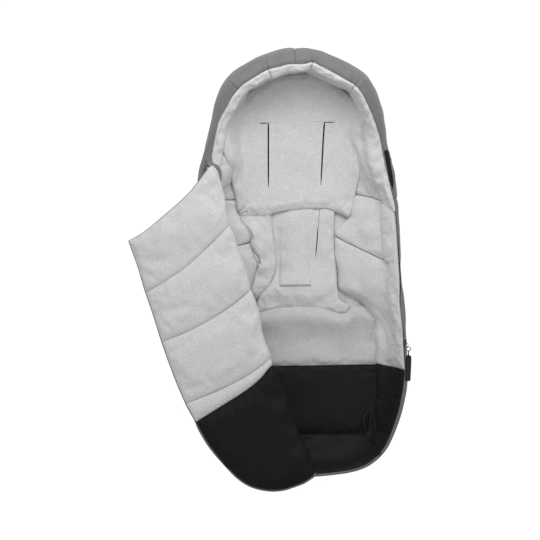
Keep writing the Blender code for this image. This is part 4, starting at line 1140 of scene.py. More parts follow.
# ---------------------------------------------------------------- quilted pieces
@dataclass
class Quilt:
    """Sewn and filled piece of cloth over a grid of places.

    Attributes:
        name: Name of the piece.
        cloth: Finish.
        direction: Where its showing side looks.
        stands_for: CAD nodes that it stands for.
        rides: Body that it moves with.
        thickness: Thickness at its border.
        puff: How far it rises inside its border.
        reach: How far in from the border the rise takes.
        swell: Height of the soft uneven swell.
        wave: Length of that swell.
        creases: Dents and ridges along lines.
        pucker: Count and depth of short random creases.
        seed: Seed of the swell and the short creases.
        filling: How it is blown up.
        fine: Subdivisions once it is filled.
        open_left: Whether its first column runs on into another piece without a seam.
    """

    name: str
    cloth: Cloth
    direction: Direction
    stands_for: tuple[str, ...] = ()
    rides: str = "muff"
    thickness: float = 3.0 * MM
    puff: float = 5.0 * MM
    reach: float = 16 * MM
    swell: float = 0.8 * MM
    wave: float = 70 * MM
    creases: tuple[Crease, ...] = ()
    pucker: tuple[int, float] = (0, 0.0)
    seed: int = 1
    filling: Optional[Filling] = field(default_factory=Filling)
    fine: int = 1
    open_left: bool = False

    def make(self, base: Array, seams: Sequence[int] = (), depth: float = 1.0, rise: Optional[Array] = None) -> Thing:
        """Make the piece over a grid.

        Args:
            base: Places of the grid, rows by columns.
            seams: Rows that are sewn down.
            depth: How much of the puff a sewn row takes away.
            rise: Puff of each place as a share of the piece's own, where it isn't even.

        Returns:
            The piece.
        """
        rows, columns = runs_of(base)
        inside = rounded(base.shape[:2], (rows, columns), self.reach, self.open_left)
        level = inside if rise is None else inside * rise
        for seam in seams:
            level = level * (1 - depth * (1 - arc(np.abs(rows - rows[seam]) / self.reach)))
        lift = self.puff * level
        lift = lift + inside * ripples(rows, columns, self.seed, self.wave, self.swell)
        if self.pucker[0]:
            count, deep = self.pucker
            lift = lift - inside * puckers(rows, columns, self.seed + 40, count, self.wave * 0.5, deep)
        for crease in self.creases:
            lift = lift - crease.at(base[..., :2])
        normals = facing(base, self.direction)
        top = base + normals * lift[..., None]
        thing = sewn(self.name, top, self.direction, np.maximum(self.thickness + lift, 0.8 * MM), self.cloth)
        if self.filling is not None:
            free = clamp((rounded(base.shape[:2], (rows, columns), self.reach) - 0.55) / 0.45)
            for seam in seams:
                free = free * clamp(np.abs(rows - rows[seam]) / self.reach - 0.25)
            fill_up(thing, free, self.filling)
        outward(refine(thing, self.fine))
        return dress(thing, self.rides, self.stands_for)


def coons(left: Array, right: Array, head: Array, foot: Array, rows: Array, columns: Array) -> Array:
    """Grid between four edges that are read at given shares down and across."""
    u, v = rows[:, None, None], columns[None, :, None]
    ruled = mix(left[:, None, :], right[:, None, :], v) + mix(head[None, :, :], foot[None, :, :], u)
    return ruled - mix(mix(left[0], right[0], v), mix(left[-1], right[-1], v), u)


LAST_ROUNDS = 3  # rounds that ease the pulled cloth off what it lies on


def stretched(floor: Array, rounds: int) -> Array:
    """Heights of cloth that is pulled tight over uneven heights, held at its border."""
    level = floor.copy()
    for _ in range(rounds):
        middle = (level[:-2, 1:-1] + level[2:, 1:-1] + level[1:-1, :-2] + level[1:-1, 2:]) / 4
        level[1:-1, 1:-1] = np.maximum(floor[1:-1, 1:-1], middle)
    for _ in range(LAST_ROUNDS):
        level[1:-1, 1:-1] = (level[:-2, 1:-1] + level[2:, 1:-1] + level[1:-1, :-2] + level[1:-1, 2:]) / 4
    return level


def wall_grid(start: Callable[[Array], Array], end: Callable[[Array], Array], rows: Array, ways: Array,
              face: Face) -> Array:
    """Grid of places on the wall between two seams.

    Args:
        start: Loop place of the first seam at each way.
        end: Loop place of the last seam at each way.
        rows: Shares from the first seam to the last.
        ways: Ways up the wall.
        face: Outside or inside.

    Returns:
        Places, rows by columns.
    """
    grid_row, grid_way = np.meshgrid(rows, ways, indexing="ij")
    return SACK.wall(mix(start(grid_way), end(grid_way), grid_row), grid_way, face)


def seam_at(table: Table | float, side: int) -> Callable[[Array], Array]:
    """Loop place of a seam at each way, on the right side, 1, or the left, -1.

    Args:
        table: Share down of the seam, or rows of way and share down.
        side: 1 for the right and -1 for the left.

    Returns:
        A function of the way; the left side counts up from the foot.
    """
    def place(way: Array) -> Array:
        """Loop place at a way."""
        down = read(table, way) if isinstance(table, tuple) else np.full(np.shape(way), table)
        share = SACK.share_at(down)
        return share if side > 0 else 2.0 - share
    return place


@dataclass
class Shell:
    """Outer cloth of the muff: hood in two halves, two sides, toe and back."""

    puff: float = 1.8 * MM
    ways: int = 34
    row_step: float = 7 * MM
    fold_step: float = 2.6 * MM
    hood_folds: tuple[float, ...] = (0.033, -0.068, 0.142, -0.150)
    fold_depth: float = 3.8 * MM
    fold_lean: float = 16 * MM
    # A fold's dent and the ridge and dent beside it: share of the depth, place aside, half width
    fold_form: tuple[tuple[float, float, float], ...] = (
        (-1.0, 0.0, 2.6 * MM), (0.6, 7 * MM, 5 * MM), (-0.5, -13 * MM, 6 * MM))
    seam_reach: float = 14 * MM
    head_seam: float = -0.0045
    # How far each side is pushed out, by the cover on the left, by share down, in metres
    pushed_left: Table = ((0, 0.001), (0.023, 0.003), (0.056, 0.003), (0.1, 0), (0.16, 0), (0.232, 0.006),
                          (0.31, 0.012), (0.38, 0.011), (0.46, 0.004), (0.52, 0), (1, 0))
    pushed_right: Table = ((0, 0), (0.07, 0), (0.122, -0.002), (0.177, -0.002), (0.232, -0.0045),
                           (0.3, 0), (0.43, 0), (0.53, -0.0042), (0.62, 0), (1, 0))
    back_inset: float = 0.010
    back_thickness: float = 1.6 * MM

    def grid(self, start: float, end: float, step: float) -> tuple[Array, Array]:
        """Grid of loop places and ways of one stretch."""
        count = max(8, int(abs(end - start) * SACK.half_round / step))
        return np.meshgrid(mix(start, end, spread(count, 0.5)), evenly(self.ways + 1), indexing="ij")

    def stretch(self, name: str, start: float, end: float, gathered: bool) -> Thing:
        """One stretch of the wall's outer cloth.

        Args:
            name: Name of the piece.
            start: First loop place.
            end: Last loop place.
            gathered: Whether it has the hood's upright folds.

        Returns:
            The piece.
        """
        loop, way = self.grid(start, end, self.fold_step if gathered else self.row_step)
        base = SACK.wall(loop, way, Face.OUTER)
        rows, columns = runs_of(base)
        sewn_down = arc(np.minimum(rows, rows[-1:] - rows) / self.seam_reach)
        band = np.sin(math.pi * clamp(way)) ** 0.6
        lift = self.puff * sewn_down * band + 0.7 * MM * ripples(rows, columns, len(name), 60 * MM, 1.0) * band
        lift = lift - 0.5 * MM * (1 - sewn_down) * band
        left = (loop < 0) | (loop > 1)
        down = SACK.stations(loop).down
        lift = lift + np.where(left, read(self.pushed_left, down), read(self.pushed_right, down)) * band
        if gathered:
            for fold in self.hood_folds:
                apart = (loop - fold) * SACK.half_round
                lean = apart - self.fold_lean * (way - 1) * np.sign(fold)
                fade = clamp((way - 0.42) / 0.5) ** 1.3
                for share, aside, wide in self.fold_form:
                    lift = lift + share * self.fold_depth * fade * np.exp(-((lean - aside) / wide) ** 2)
        else:
            lift = lift + 0.5 * MM * np.sin(columns / (9 * MM) + rows / (60 * MM)) * band
        top = base + facing(base, Direction.OUT) * lift[..., None]
        thing = sewn(name, top, Direction.OUT, 1.4 * MM, Cloth.SHELL)
        return dress(outward(refine(thing)), "muff", (name,))

    def back(self, cutters: Sequence[Thing]) -> Thing:
        """Flat outer cloth under the muff, with the slots cut."""
        count = 120
        loops = np.linspace(0.004, 0.996, count)
        right = SACK.stations(loops).place(np.full(count, self.back_inset), np.full(count, self.back_thickness))
        left = right * np.array((-1.0, 1.0, 1.0))
        across = evenly(41)[None, :, None]
        top = mix(left[:, None, :], right[:, None, :], across)
        thing = sewn("back_shell", top, Direction.UP, self.back_thickness, Cloth.SHELL)
        slit(thing, cutters)
        return dress(thing, "muff", ("back_shell",))

    def build(self, cutters: Sequence[Thing]) -> None:
        """Make the outer cloth."""
        hood = SACK.share_at(HOOD_END_SHARE)
        toe = SACK.share_at(TOE_SEAM_SHARE)
        self.stretch("hood_shell_right", self.head_seam, hood, True)
        self.stretch("hood_shell_left", -hood, self.head_seam, True)
        self.stretch("side_shell_right", hood, toe, False)
        self.stretch("side_shell_left", 2.0 - toe, 2.0 - hood, False)
        self.stretch("toe_shell", toe, 2.0 - toe, False)
        self.back(cutters)


@dataclass
class Slots:
    """Slots for the harness: lines on the floor and the blades that open them."""

    width: float = 3.4 * MM
    lap_width: float = 2.4 * MM
    cross_width: float = 1.8 * MM
    left_shoulder: Table = ((-0.2848, 0.1725), (-0.29, 0.245), (-0.295, 0.3245))
    right_shoulder: Table = ((0.255, 0.1725), (0.243, 0.205), (0.2325, 0.2425), (0.22, 0.285), (0.211, 0.32))
    left_cross: Table = ((-0.365, 0.1728), (-0.285, 0.1728))
    right_cross: Table = ((0.252, 0.1728), (0.358, 0.1728))
    left_lap: Table = ((-0.262, 0.372), (-0.262, 0.41), (-0.243, 0.48))
    right_lap: Table = ((0.199, 0.372), (0.184, 0.405), (0.172, 0.43), (0.162, 0.46), (0.148, 0.4895))
    crotch: Table = ((-0.14, 0.556), (0.04, 0.556))

    def blade(self, name: str, width: float) -> Thing:
        """Upright blade along one of the lines, hidden.

        Args:
            name: Name of the line.
            width: Width in metres.

        Returns:
            The blade.
        """
        shares = evenly(24)
        points, side = line_and_side(getattr(self, name), shares)
        head = 0.35 if name == "right_lap" else 1.0
        form = (0.6 * head, head, head, 1.0, 0.85, 0.3)
        half = width / 2 * np.interp(shares, (0.0, 0.05, 0.4, 0.55, 0.85, 1.0), form)[:, None]
        flat = np.concatenate((points + side * half, (points - side * half)[::-1]))
        count = len(flat)
        places = [(*p, z) for z in (-0.02, 0.12) for p in flat]
        faces = [tuple(range(count))[::-1], tuple(range(count, 2 * count))]
        faces += [(i, (i + 1) % count, (i + 1) % count + count, i + count) for i in range(count)]
        thing = outward(body(f"cut_{name}", np.array(places), faces, Cloth.BLACK, smooth=False))
        thing.hide_render = True
        return thing

    def build(self) -> dict[str, Thing]:
        """Make the blades."""
        widths = {"left_shoulder": self.width, "right_shoulder": self.width, "left_cross": self.cross_width,
                  "right_cross": self.cross_width, "left_lap": self.lap_width, "right_lap": self.lap_width,
                  "crotch": self.width}
        return {name: self.blade(name, width) for name, width in widths.items()}


def slit(thing: Thing, cutters: Sequence[Thing]) -> None:
    """Cut blades out of a piece and keep the cut's edges sharp."""
    for cutter in cutters:
        cut = thing.modifiers.new("slit", "BOOLEAN")
        cut.operation = "DIFFERENCE"
        cut.solver = "EXACT"
        cut.object = cutter
    settle(thing)
    thing.data.set_sharp_from_angle(angle=math.radians(60))


# How much closer the rows and columns of a lining stand near its seams
PANEL_SPREAD = 0.75
# How far a tucked head end may stand over the floor, and where down the length that ends
TUCK_RISE = 7 * MM
TUCK_END_SHARE = 0.09
TUCK_RUN_SHARE = 0.08


@dataclass
class FloorPanel:
    """Lining panel on the floor between four edges.

    Attributes:
        quilt: Its cloth and form.
        left: Its left edge from head to foot, as (across, down) shares.
        right: Its right edge.
        head: Its head edge from left to right, without the corners.
        foot: Its foot edge from left to right, without the corners.
        rise_down: Height over the ground by share of the way down.
        rise_across: Height over the ground by share of the way across, added to that.
        rounds: How tight it is pulled over the ground.
        step: Size of the grid's squares.
        tucked: Whether its head end stays low in the hood, under the roll.
        lies_on: Finished pieces that it lies on.
        line: Line across it, as (across, down) shares.
        rise_past: Height over the ground by share down past that line, added to the rest.
    """

    quilt: Quilt
    left: Table
    right: Table
    head: Table = ()
    foot: Table = ()
    rise_down: Table = in_mm((0, 3), (1, 3))
    rise_across: Table = ((0, 0), (1, 0))
    rounds: int = 60
    step: float = 5.5 * MM
    tucked: bool = False
    lies_on: tuple[str, ...] = ()
    line: Table = ((0, 0), (1, 0))
    rise_past: Table = ((0, 0), (1, 0))

    def flat(self) -> Array:
        """Flat places of the grid."""
        head = (self.left[0], *self.head, self.right[0])
        foot = (self.left[-1], *self.foot, self.right[-1])
        scale = np.array((HALF_WIDTH, LENGTH))
        size = [max(np.linalg.norm(np.diff(np.array(edge) * scale, axis=0), axis=1).sum() for edge in pair)
                for pair in ((self.left, self.right), (head, foot))]
        counts = [max(8, int(length / self.step)) for length in size]
        down, across = (spread(count, PANEL_SPREAD) for count in counts)
        shares = coons(along_edge(self.left, down), along_edge(self.right, down), along_edge(head, across),
                       along_edge(foot, across), evenly(len(down)), evenly(len(across)))
        return on_floor(shares[..., 0], shares[..., 1])

    def build(self) -> Thing:
        """Make the panel."""
        flat = self.flat()
        ground = SACK.ground(flat)
        if self.tucked:
            low = np.minimum(ground, floor_height(flat) + TUCK_RISE)
            down = clamp((down_of(flat) - TUCK_END_SHARE) / TUCK_RUN_SHARE)
            ground = mix(low, ground, down * down * (3 - 2 * down))
        for name in self.lies_on:
            ground = np.maximum(ground, surface_height(bpy.data.objects[name], flat))
        u, v = (spread(count - 1, PANEL_SPREAD) for count in flat.shape[:2])
        level = stretched(ground, self.rounds) + read(self.rise_down, u)[:, None] + read(self.rise_across, v)[None, :]
        level = level + read(self.rise_past, down_of(flat) - read(self.line, flat[..., 0] / HALF_WIDTH))
        return self.quilt.make(at_height(flat, level))


@dataclass
class Floor:
    """Lining panels on the floor, with their slots, the crotch tab and the bars of the shoulder slots."""

    wadding_low: float = 1.9 * MM
    panels: dict[str, Thing] = field(default_factory=dict)

    def upper_back(self) -> FloorPanel:
        """Panel behind the shoulders, with its thick folded hem."""
        left = ((-0.7, 0.16), (-0.732, 0.195), (-0.738, 0.23), (-0.7, 0.255), (-0.652, 0.283),
                (-0.63, 0.321), (-0.613, 0.35), (-0.601, 0.38), (-0.58, 0.389))
        right = ((0.69, 0.15), (0.66, 0.172), (0.64, 0.19), (0.63, 0.2), (0.621, 0.235), (0.612, 0.262),
                 (0.585, 0.3), (0.545, 0.338), (0.52, 0.37), (0.475, 0.399))
        at = SACK.stations(np.linspace(-0.150, 0.128, 13)[1:-1])
        head = shares_of(at.flat(at.hem + 15 * MM))
        foot = ((-0.48, 0.391), (-0.373, 0.393), (-0.177, 0.383), (-0.04, 0.379), (0.092, 0.377),
                (0.251, 0.377), (0.36, 0.386))
        creases = (
            crease(3, 4.5, (-0.615, 0.388), (-0.565, 0.378), (-0.5, 0.362)),
            crease(2.5, 4, (-0.6, 0.391), (-0.545, 0.384), (-0.52, 0.381)),
            crease(3, 3.5, (-0.61, 0.355), (-0.6, 0.375), (-0.59, 0.388)),
            crease(9, 1.2, (-0.5, 0.352), (-0.2, 0.356), (0.1, 0.352), (0.44, 0.36)),
            crease(4, 2.2, (0.36, 0.384), (0.43, 0.392), (0.47, 0.398)),
            crease(2.2, 2.0, (-0.4, 0.1745), (-0.15, 0.174)),
            crease(2.2, 2.0, (0.12, 0.1715), (0.37, 0.1745)),
            crease(22, 2.2, (-0.45, 0.135), (0, 0.128), (0.4, 0.135)),
        )
        quilt = Quilt("upper_back_lining", Cloth.FLEECE, Direction.UP, ("upper_back_lining",), thickness=4 * MM,
                      puff=7 * MM, reach=17 * MM, swell=0.9 * MM, wave=95 * MM, creases=creases, pucker=(26, 0.5 * MM),
                      seed=11, filling=SOFT)
        hem = in_mm((0, 0), (0.75, 1), (0.9, 5), (1, 8))
        sides = in_mm((0, 7), (0.08, 3), (0.3, 0), (0.7, 0), (0.92, 3), (1, 7))
        return FloorPanel(quilt, left, right, head, foot, rise_down=hem, rise_across=sides, rounds=110, tucked=True)

    def seat(self) -> FloorPanel:
        """Seat panel under the upper panel's hem."""
        left = ((-0.262, 0.362), (-0.264, 0.395), (-0.26, 0.434), (-0.244, 0.475), (-0.24, 0.511),
                (-0.273, 0.541), (-0.348, 0.565), (-0.42, 0.592), (-0.425, 0.621))
        right = ((0.345, 0.362), (0.341, 0.395), (0.332, 0.436), (0.336, 0.475), (0.351, 0.517),
                 (0.357, 0.562), (0.368, 0.588), (0.415, 0.598), (0.455, 0.602), (0.474, 0.608))
        foot = ((-0.314, 0.614), (-0.228, 0.609), (-0.046, 0.608), (0.126, 0.61), (0.259, 0.616),
                (0.393, 0.624), (0.44, 0.621), (0.466, 0.614))
        creases = (
            crease(12, 2.5, (-0.22, 0.4), (-0.21, 0.48)),
            crease(10, 2.0, (0.13, 0.4), (0.11, 0.5)),
            crease(3.5, 3.0, (0.085, 0.45), (0.095, 0.5), (0.11, 0.556)),
            crease(5, 3.4, (-0.205, 0.43), (-0.205, 0.5), (-0.212, 0.556)),
            crease(26, -3.0, (-0.05, 0.4), (-0.05, 0.54)),
            crease(14, -2.5, (0.27, 0.4), (0.26, 0.5), (0.3, 0.56)),
            crease(6, 2.2, (0.38, 0.603), (0.46, 0.612)),
            crease(5, 2.0, (0.33, 0.597), (0.4, 0.59)),
            crease(11, 1.0, (-0.36, 0.592), (-0.16, 0.59)),
        )
        quilt = Quilt("seat_lining", Cloth.FLEECE, Direction.UP, ("seat_lining",), thickness=4 * MM, puff=6 * MM,
                      reach=13 * MM, swell=0.9 * MM, wave=70 * MM, creases=creases, pucker=(16, 0.5 * MM), seed=23,
                      filling=SOFT)
        lift = in_mm((0, 0), (0.45, 2), (0.68, 8), (0.8, 9), (1, 5.5))
        sides = in_mm((0, 0), (0.85, 0), (1, 6))
        return FloorPanel(quilt, left, right, (), foot, rise_down=lift, rise_across=sides, rounds=30, step=5 * MM)

    def seat_fold(self) -> FloorPanel:
        """Soft fold of the seat's cloth that stands along its left edge."""
        left = ((-0.6, 0.38), (-0.56, 0.402), (-0.5, 0.424), (-0.45, 0.45), (-0.415, 0.475), (-0.392, 0.497),
                (-0.415, 0.514), (-0.45, 0.54), (-0.487, 0.566))
        right = ((-0.258, 0.372), (-0.262, 0.4), (-0.258, 0.434), (-0.242, 0.475), (-0.238, 0.511),
                 (-0.268, 0.541), (-0.325, 0.563), (-0.385, 0.578), (-0.44, 0.59))
        creases = (
            crease(8, 3.0, (-0.44, 0.405), (-0.355, 0.43), (-0.335, 0.47), (-0.35, 0.5)),
            crease(7, -2.5, (-0.33, 0.385), (-0.29, 0.41), (-0.27, 0.47)),
            crease(6, 2.0, (-0.42, 0.53), (-0.35, 0.54)),
        )
        quilt = Quilt("seat_fold_left", Cloth.FLEECE, Direction.UP, (), thickness=4 * MM, puff=9 * MM, reach=16 * MM,
                      swell=1.0 * MM, wave=50 * MM, creases=creases, pucker=(10, 0.6 * MM), seed=31,
                      filling=Filling(4.5, 5 * MM, 0.03))
        return FloorPanel(quilt, left, right, ((-0.5, 0.372), (-0.38, 0.368)), ((-0.465, 0.58),),
                          rise_down=in_mm((0, -3), (0.1, -2), (0.25, 1), (0.45, 4), (1, 5)),
                          rise_across=in_mm((0, 1), (0.3, 2), (1, 0)), rounds=40, step=4.5 * MM,
                          lies_on=("wing_lining_left_cloth", "hip_lining_left_cloth"))

    def leg(self) -> FloorPanel:
        """Panel under the legs, down to the black lining."""
        start, end = 0.545, BLACK_SHARE
        downs = np.linspace(start, end, 9)
        edge = [(across, down) for (across, _), down in zip(self._foot_of_wall(downs), downs)]
        edge[-1] = (edge[-1][0] - 0.020, end)
        creases = (
            crease(20, 2.0, (-0.45, 0.66), (-0.1, 0.69), (0.3, 0.664), (0.6, 0.69)),
            crease(9, -1.5, (0.5, 0.625), (0.42, 0.64), (0.3, 0.642)),
        )
        # The leg panel's fleece is a darker copy of the same cloth: painted shade.
        quilt = Quilt("leg_lining", Cloth.FLEECE_LOW, Direction.UP, ("leg_lining",), thickness=3.5 * MM, puff=4 * MM,
                      reach=9 * MM, swell=1.0 * MM, wave=80 * MM, creases=creases, pucker=(14, 0.5 * MM), seed=41,
                      filling=SOFT)
        seat_foot = ((-0.6, 0.624), (-0.42, 0.621), (-0.314, 0.614), (-0.228, 0.609), (-0.046, 0.608), (0.126, 0.61),
                     (0.259, 0.616), (0.393, 0.624), (0.45, 0.62), (0.49, 0.608), (0.6, 0.606))
        lift = in_mm((-0.06, -4), (-0.012, -3.5), (-0.002, -2), (0.004, 3), (0.02, 11), (0.027, 11), (0.04, 7),
                     (0.066, 2), (0.09, 0.5), (0.12, 3), (0.14, 5))
        sides = in_mm((0, -6), (0.05, -1), (0.1, 0), (0.9, 0), (0.95, -1), (1, -6))
        return FloorPanel(quilt, mirrored(edge), edge, rise_down=((0, 0), (1, 0)), rise_across=sides,
                          rounds=4, step=4.5 * MM, line=seat_foot, rise_past=lift)

    @staticmethod
    def _foot_of_wall(downs: Array) -> list[list[float]]:
        """Places along the foot of the wall, as (across, down) shares, at shares down its outline."""
        at = SACK.stations(SACK.share_at(downs))
        return shares_of(at.flat(at.floor_inset - 3 * MM))

    def black_floor(self) -> None:
        """Black lining of the foot, and of the toe beyond its seam."""
        for name, start, end, seed, lift in (
            ("foot_lining", BLACK_SHARE, 0.916, 51, in_mm((0, 4), (0.12, 1), (1, 0.5))),
            ("toe_lining", TOE_SEAM_SHARE, 0.9855, 52, in_mm((0, 3), (0.3, 4), (0.8, 5), (1, 2))),
        ):
            edge = self._toe_edge() if name == "toe_lining" else self._foot_of_wall(np.linspace(start, end, 9))
            creases = (crease(7, 1.6, (0.34, 0.968), (0.44, 0.96), (0.5, 0.962)),)
            quilt = Quilt(name, Cloth.BLACK, Direction.UP, (name,), thickness=3 * MM, puff=3.5 * MM, reach=12 * MM,
                          swell=0.9 * MM, wave=110 * MM, creases=creases, pucker=(7, 0.5 * MM), seed=seed,
                          filling=FLAT)
            FloorPanel(quilt, mirrored(edge), edge, rise_down=lift, rounds=30).build()

    def inner_floor(self) -> None:
        """Plain linings under the sewn panels: fleece to the black seam, and black beyond it."""
        for name, cloth, start, end in (("inner_floor", Cloth.FLEECE, 0.055, BLACK_SHARE - 0.030),
                                        ("inner_foot", Cloth.BLACK, BLACK_SHARE - 0.029, 0.985)):
            loops = np.linspace(SACK.share_at(start), SACK.share_at(end), 120)
            sides = [SACK.stations(places) for places in (2.0 - loops, loops)]
            left, right = (at.flat(at.floor_inset - 4 * MM)[:, None] for at in sides)
            flat = mix(left, right, evenly(61)[None, :, None])
            thing = sewn(name, at_height(flat, floor_height(flat) + 1.3 * MM), Direction.UP, 1.0 * MM, cloth)
            dress(thing)

    @staticmethod
    def _toe_edge() -> list[Sequence[float]]:
        """Right edge of the toe's lining: from its seam out to the rim, and round to beside the middle."""
        loops = np.linspace(SACK.share_at(0.938), 0.982, 7)
        at = SACK.stations(loops)
        return [(0.64, 0.91), (0.69, 0.92), *shares_of(at.flat(at.hem + 4.5 * MM))]

    def gusset(self) -> None:
        """Crumpled fold of black cloth in the corner between foot and wall."""
        left = ((0.69, 0.84), (0.563, 0.87), (0.539, 0.903), (0.507, 0.933), (0.464, 0.956), (0.52, 0.972))
        right = ((0.7, 0.838), (0.704, 0.87), (0.708, 0.903), (0.735, 0.928), (0.735, 0.945), (0.66, 0.962))
        creases = (crease(6, 6, (0.69, 0.852), (0.662, 0.8596), (0.645, 0.885), (0.654, 0.91)),
                   crease(5, -4, (0.59, 0.868), (0.6, 0.903), (0.655, 0.92), (0.735, 0.932)),
                   crease(6, 2, (0.545, 0.915), (0.575, 0.935)))
        quilt = Quilt("foot_gusset", Cloth.BLACK, Direction.UP, (), thickness=2.5 * MM, puff=4 * MM, reach=9 * MM,
                      swell=1.4 * MM, wave=35 * MM, creases=creases, seed=53, filling=FLAT)
        FloorPanel(quilt, left, right, rise_down=in_mm((0, 3), (0.3, 8), (1, 7)), rounds=8, step=3 * MM).build()

    def wadding(self, cutters: Sequence[Thing]) -> None:
        """Wadding of the back, under the linings."""
        at = SACK.stations(np.linspace(0.012, 0.988, 110))
        right = at.flat(at.floor_inset + 0.3 * MM)
        across = np.linspace(-1.0, 1.0, 41)
        flat = np.stack(np.broadcast_arrays(right[:, None, 0] * across[None, :], right[:, None, 1]), axis=-1)
        top = at_height(flat, floor_height(flat) - 0.4 * MM)
        thing = sewn("back_padding", top, Direction.UP, 1.0 * MM, Cloth.WADDING)
        places = places_of(thing)
        places[flat.shape[0] * flat.shape[1]:, 2] = self.wadding_low
        move_to(thing, places)
        slit(outward(thing), cutters)
        dress(thing, "muff", ("back_padding",))

    def slot_shades(self, slots: Slots) -> None:
        """Black sheets behind the slots: painted shade of their dark inside."""
        for name, line in (("left_shoulder", slots.left_shoulder), ("right_shoulder", slots.right_shoulder),
                           ("right_lap", slots.right_lap)):
            shares = evenly(20)
            points, side = line_and_side(line, shares)
            width = 15 * MM if "shoulder" in name else 7 * MM
            flat = points[:, None, :] + side[:, None, :] * (np.linspace(-1, 1, 9)[None, :, None] * width)
            top = at_height(flat, SACK.ground(flat) + 2.6 * MM)
            # Black sheet under the slot: painted shade in its opening.
            thing = sewn(f"slot_tape_{name}", top, Direction.UP, 0.9 * MM, Cloth.BLACK)
            dress(thing, "muff", ())

    def tab(self) -> None:
        """Flap over the crotch slot, sewn on the seat panel."""
        seat = self.panels["seat"]
        corners = ((-0.185, 0.44), (0.075, 0.44), (0.102, 0.5575), (-0.206, 0.5575))
        grid = self.over(seat, corners, 26, 40)
        u = evenly(grid.shape[0])[:, None]
        grid[..., 2] += read(in_mm((0, -2), (0.35, -0.8), (0.8, 0.5), (1, 1.6)), u)
        quilt = Quilt("crotch_tab", Cloth.FLEECE, Direction.UP, ("crotch_tab",), thickness=1.2 * MM, puff=2.4 * MM,
                      reach=5 * MM, swell=0.4 * MM, wave=30 * MM, seed=61, filling=None)
        quilt.make(grid, rise=clamp(u * 1.4) * np.ones(grid.shape[:2]))
        foot = grid[-2, 1:-1] + np.array((0.0, 0.0, 2.0 * MM))
        STITCHES.along("crotch_tab_stitches", foot, Cloth.DARK_THREAD)

    def over(self, thing: Thing, corners: Table, columns: int, rows: int) -> Array:
        """Grid of places on a piece, between four corners given as (across, down) shares.

        Args:
            thing: The piece.
            corners: Head left, head right, foot right and foot left.
            columns: Steps from left to right.
            rows: Steps from head to foot.

        Returns:
            Places, rows by columns.
        """
        a, b, c, d = (on_floor(*corner) for corner in corners)
        u = evenly(rows + 1)[:, None, None]
        v = evenly(columns + 1)[None, :, None]
        flat = mix(mix(a, b, v), mix(d, c, v), u)
        return at_height(flat, surface_height(thing, flat))

    def bars(self) -> None:
        """Sewn bars across the head ends of the shoulder slots."""
        for side, middle in (("left", -0.290), ("right", 0.257)):
            corners = ((middle - 0.112, 0.1662), (middle + 0.112, 0.1662), (middle + 0.112, 0.1706),
                       (middle - 0.112, 0.1706))
            grid = self.over(self.panels["upper_back"], corners, 40, 6)
            quilt = Quilt(f"slot_bar_{side}", Cloth.FLEECE, Direction.UP, (f"slot_bar_{side}",), thickness=0.9 * MM,
                          puff=1.2 * MM, reach=1.6 * MM, swell=0.1 * MM, wave=12 * MM, seed=71, filling=None)
            quilt.make(grid)

    def build(self, slots: Slots, cutters: dict[str, Thing]) -> None:
        """Make the floor's pieces."""
        self.wadding(list(cutters.values()))
        self.inner_floor()
        self.black_floor()
        self.gusset()
        self.leg().build()
        self.panels["fold"] = self.seat_fold().build()
        self.panels["seat"] = self.seat().build()
        slit(self.panels["seat"], [cutters["right_lap"]])
        self.panels["upper_back"] = self.upper_back().build()
        slit(self.panels["upper_back"], [cutters[f"{side}_{part}"] for side in ("left", "right")
                                         for part in ("shoulder", "cross")])
        self.slot_shades(slots)
        self.tab()
        self.bars()


OVER_ALL = 0.3  # height over every piece, in metres


@cache
def tree_of(name: str) -> BVHTree:
    """Search tree of a finished piece's faces, made once."""
    mesh = bpy.data.objects[name].data
    return BVHTree.FromPolygons([v.co for v in mesh.vertices], [p.vertices for p in mesh.polygons])


def surface_height(thing: Thing, flat: Array) -> Array:
    """Height of a piece's upper side at flat places; 0 where there is none."""
    tree = tree_of(thing.name)
    heights = []
    for x, y in flat.reshape(-1, 2):
        hit = tree.ray_cast(Vector((x, y, OVER_ALL)), Vector((0.0, 0.0, -1.0)))
        heights.append(hit[0].z if hit[0] is not None else 0.0)
    return np.array(heights).reshape(flat.shape[:-1])


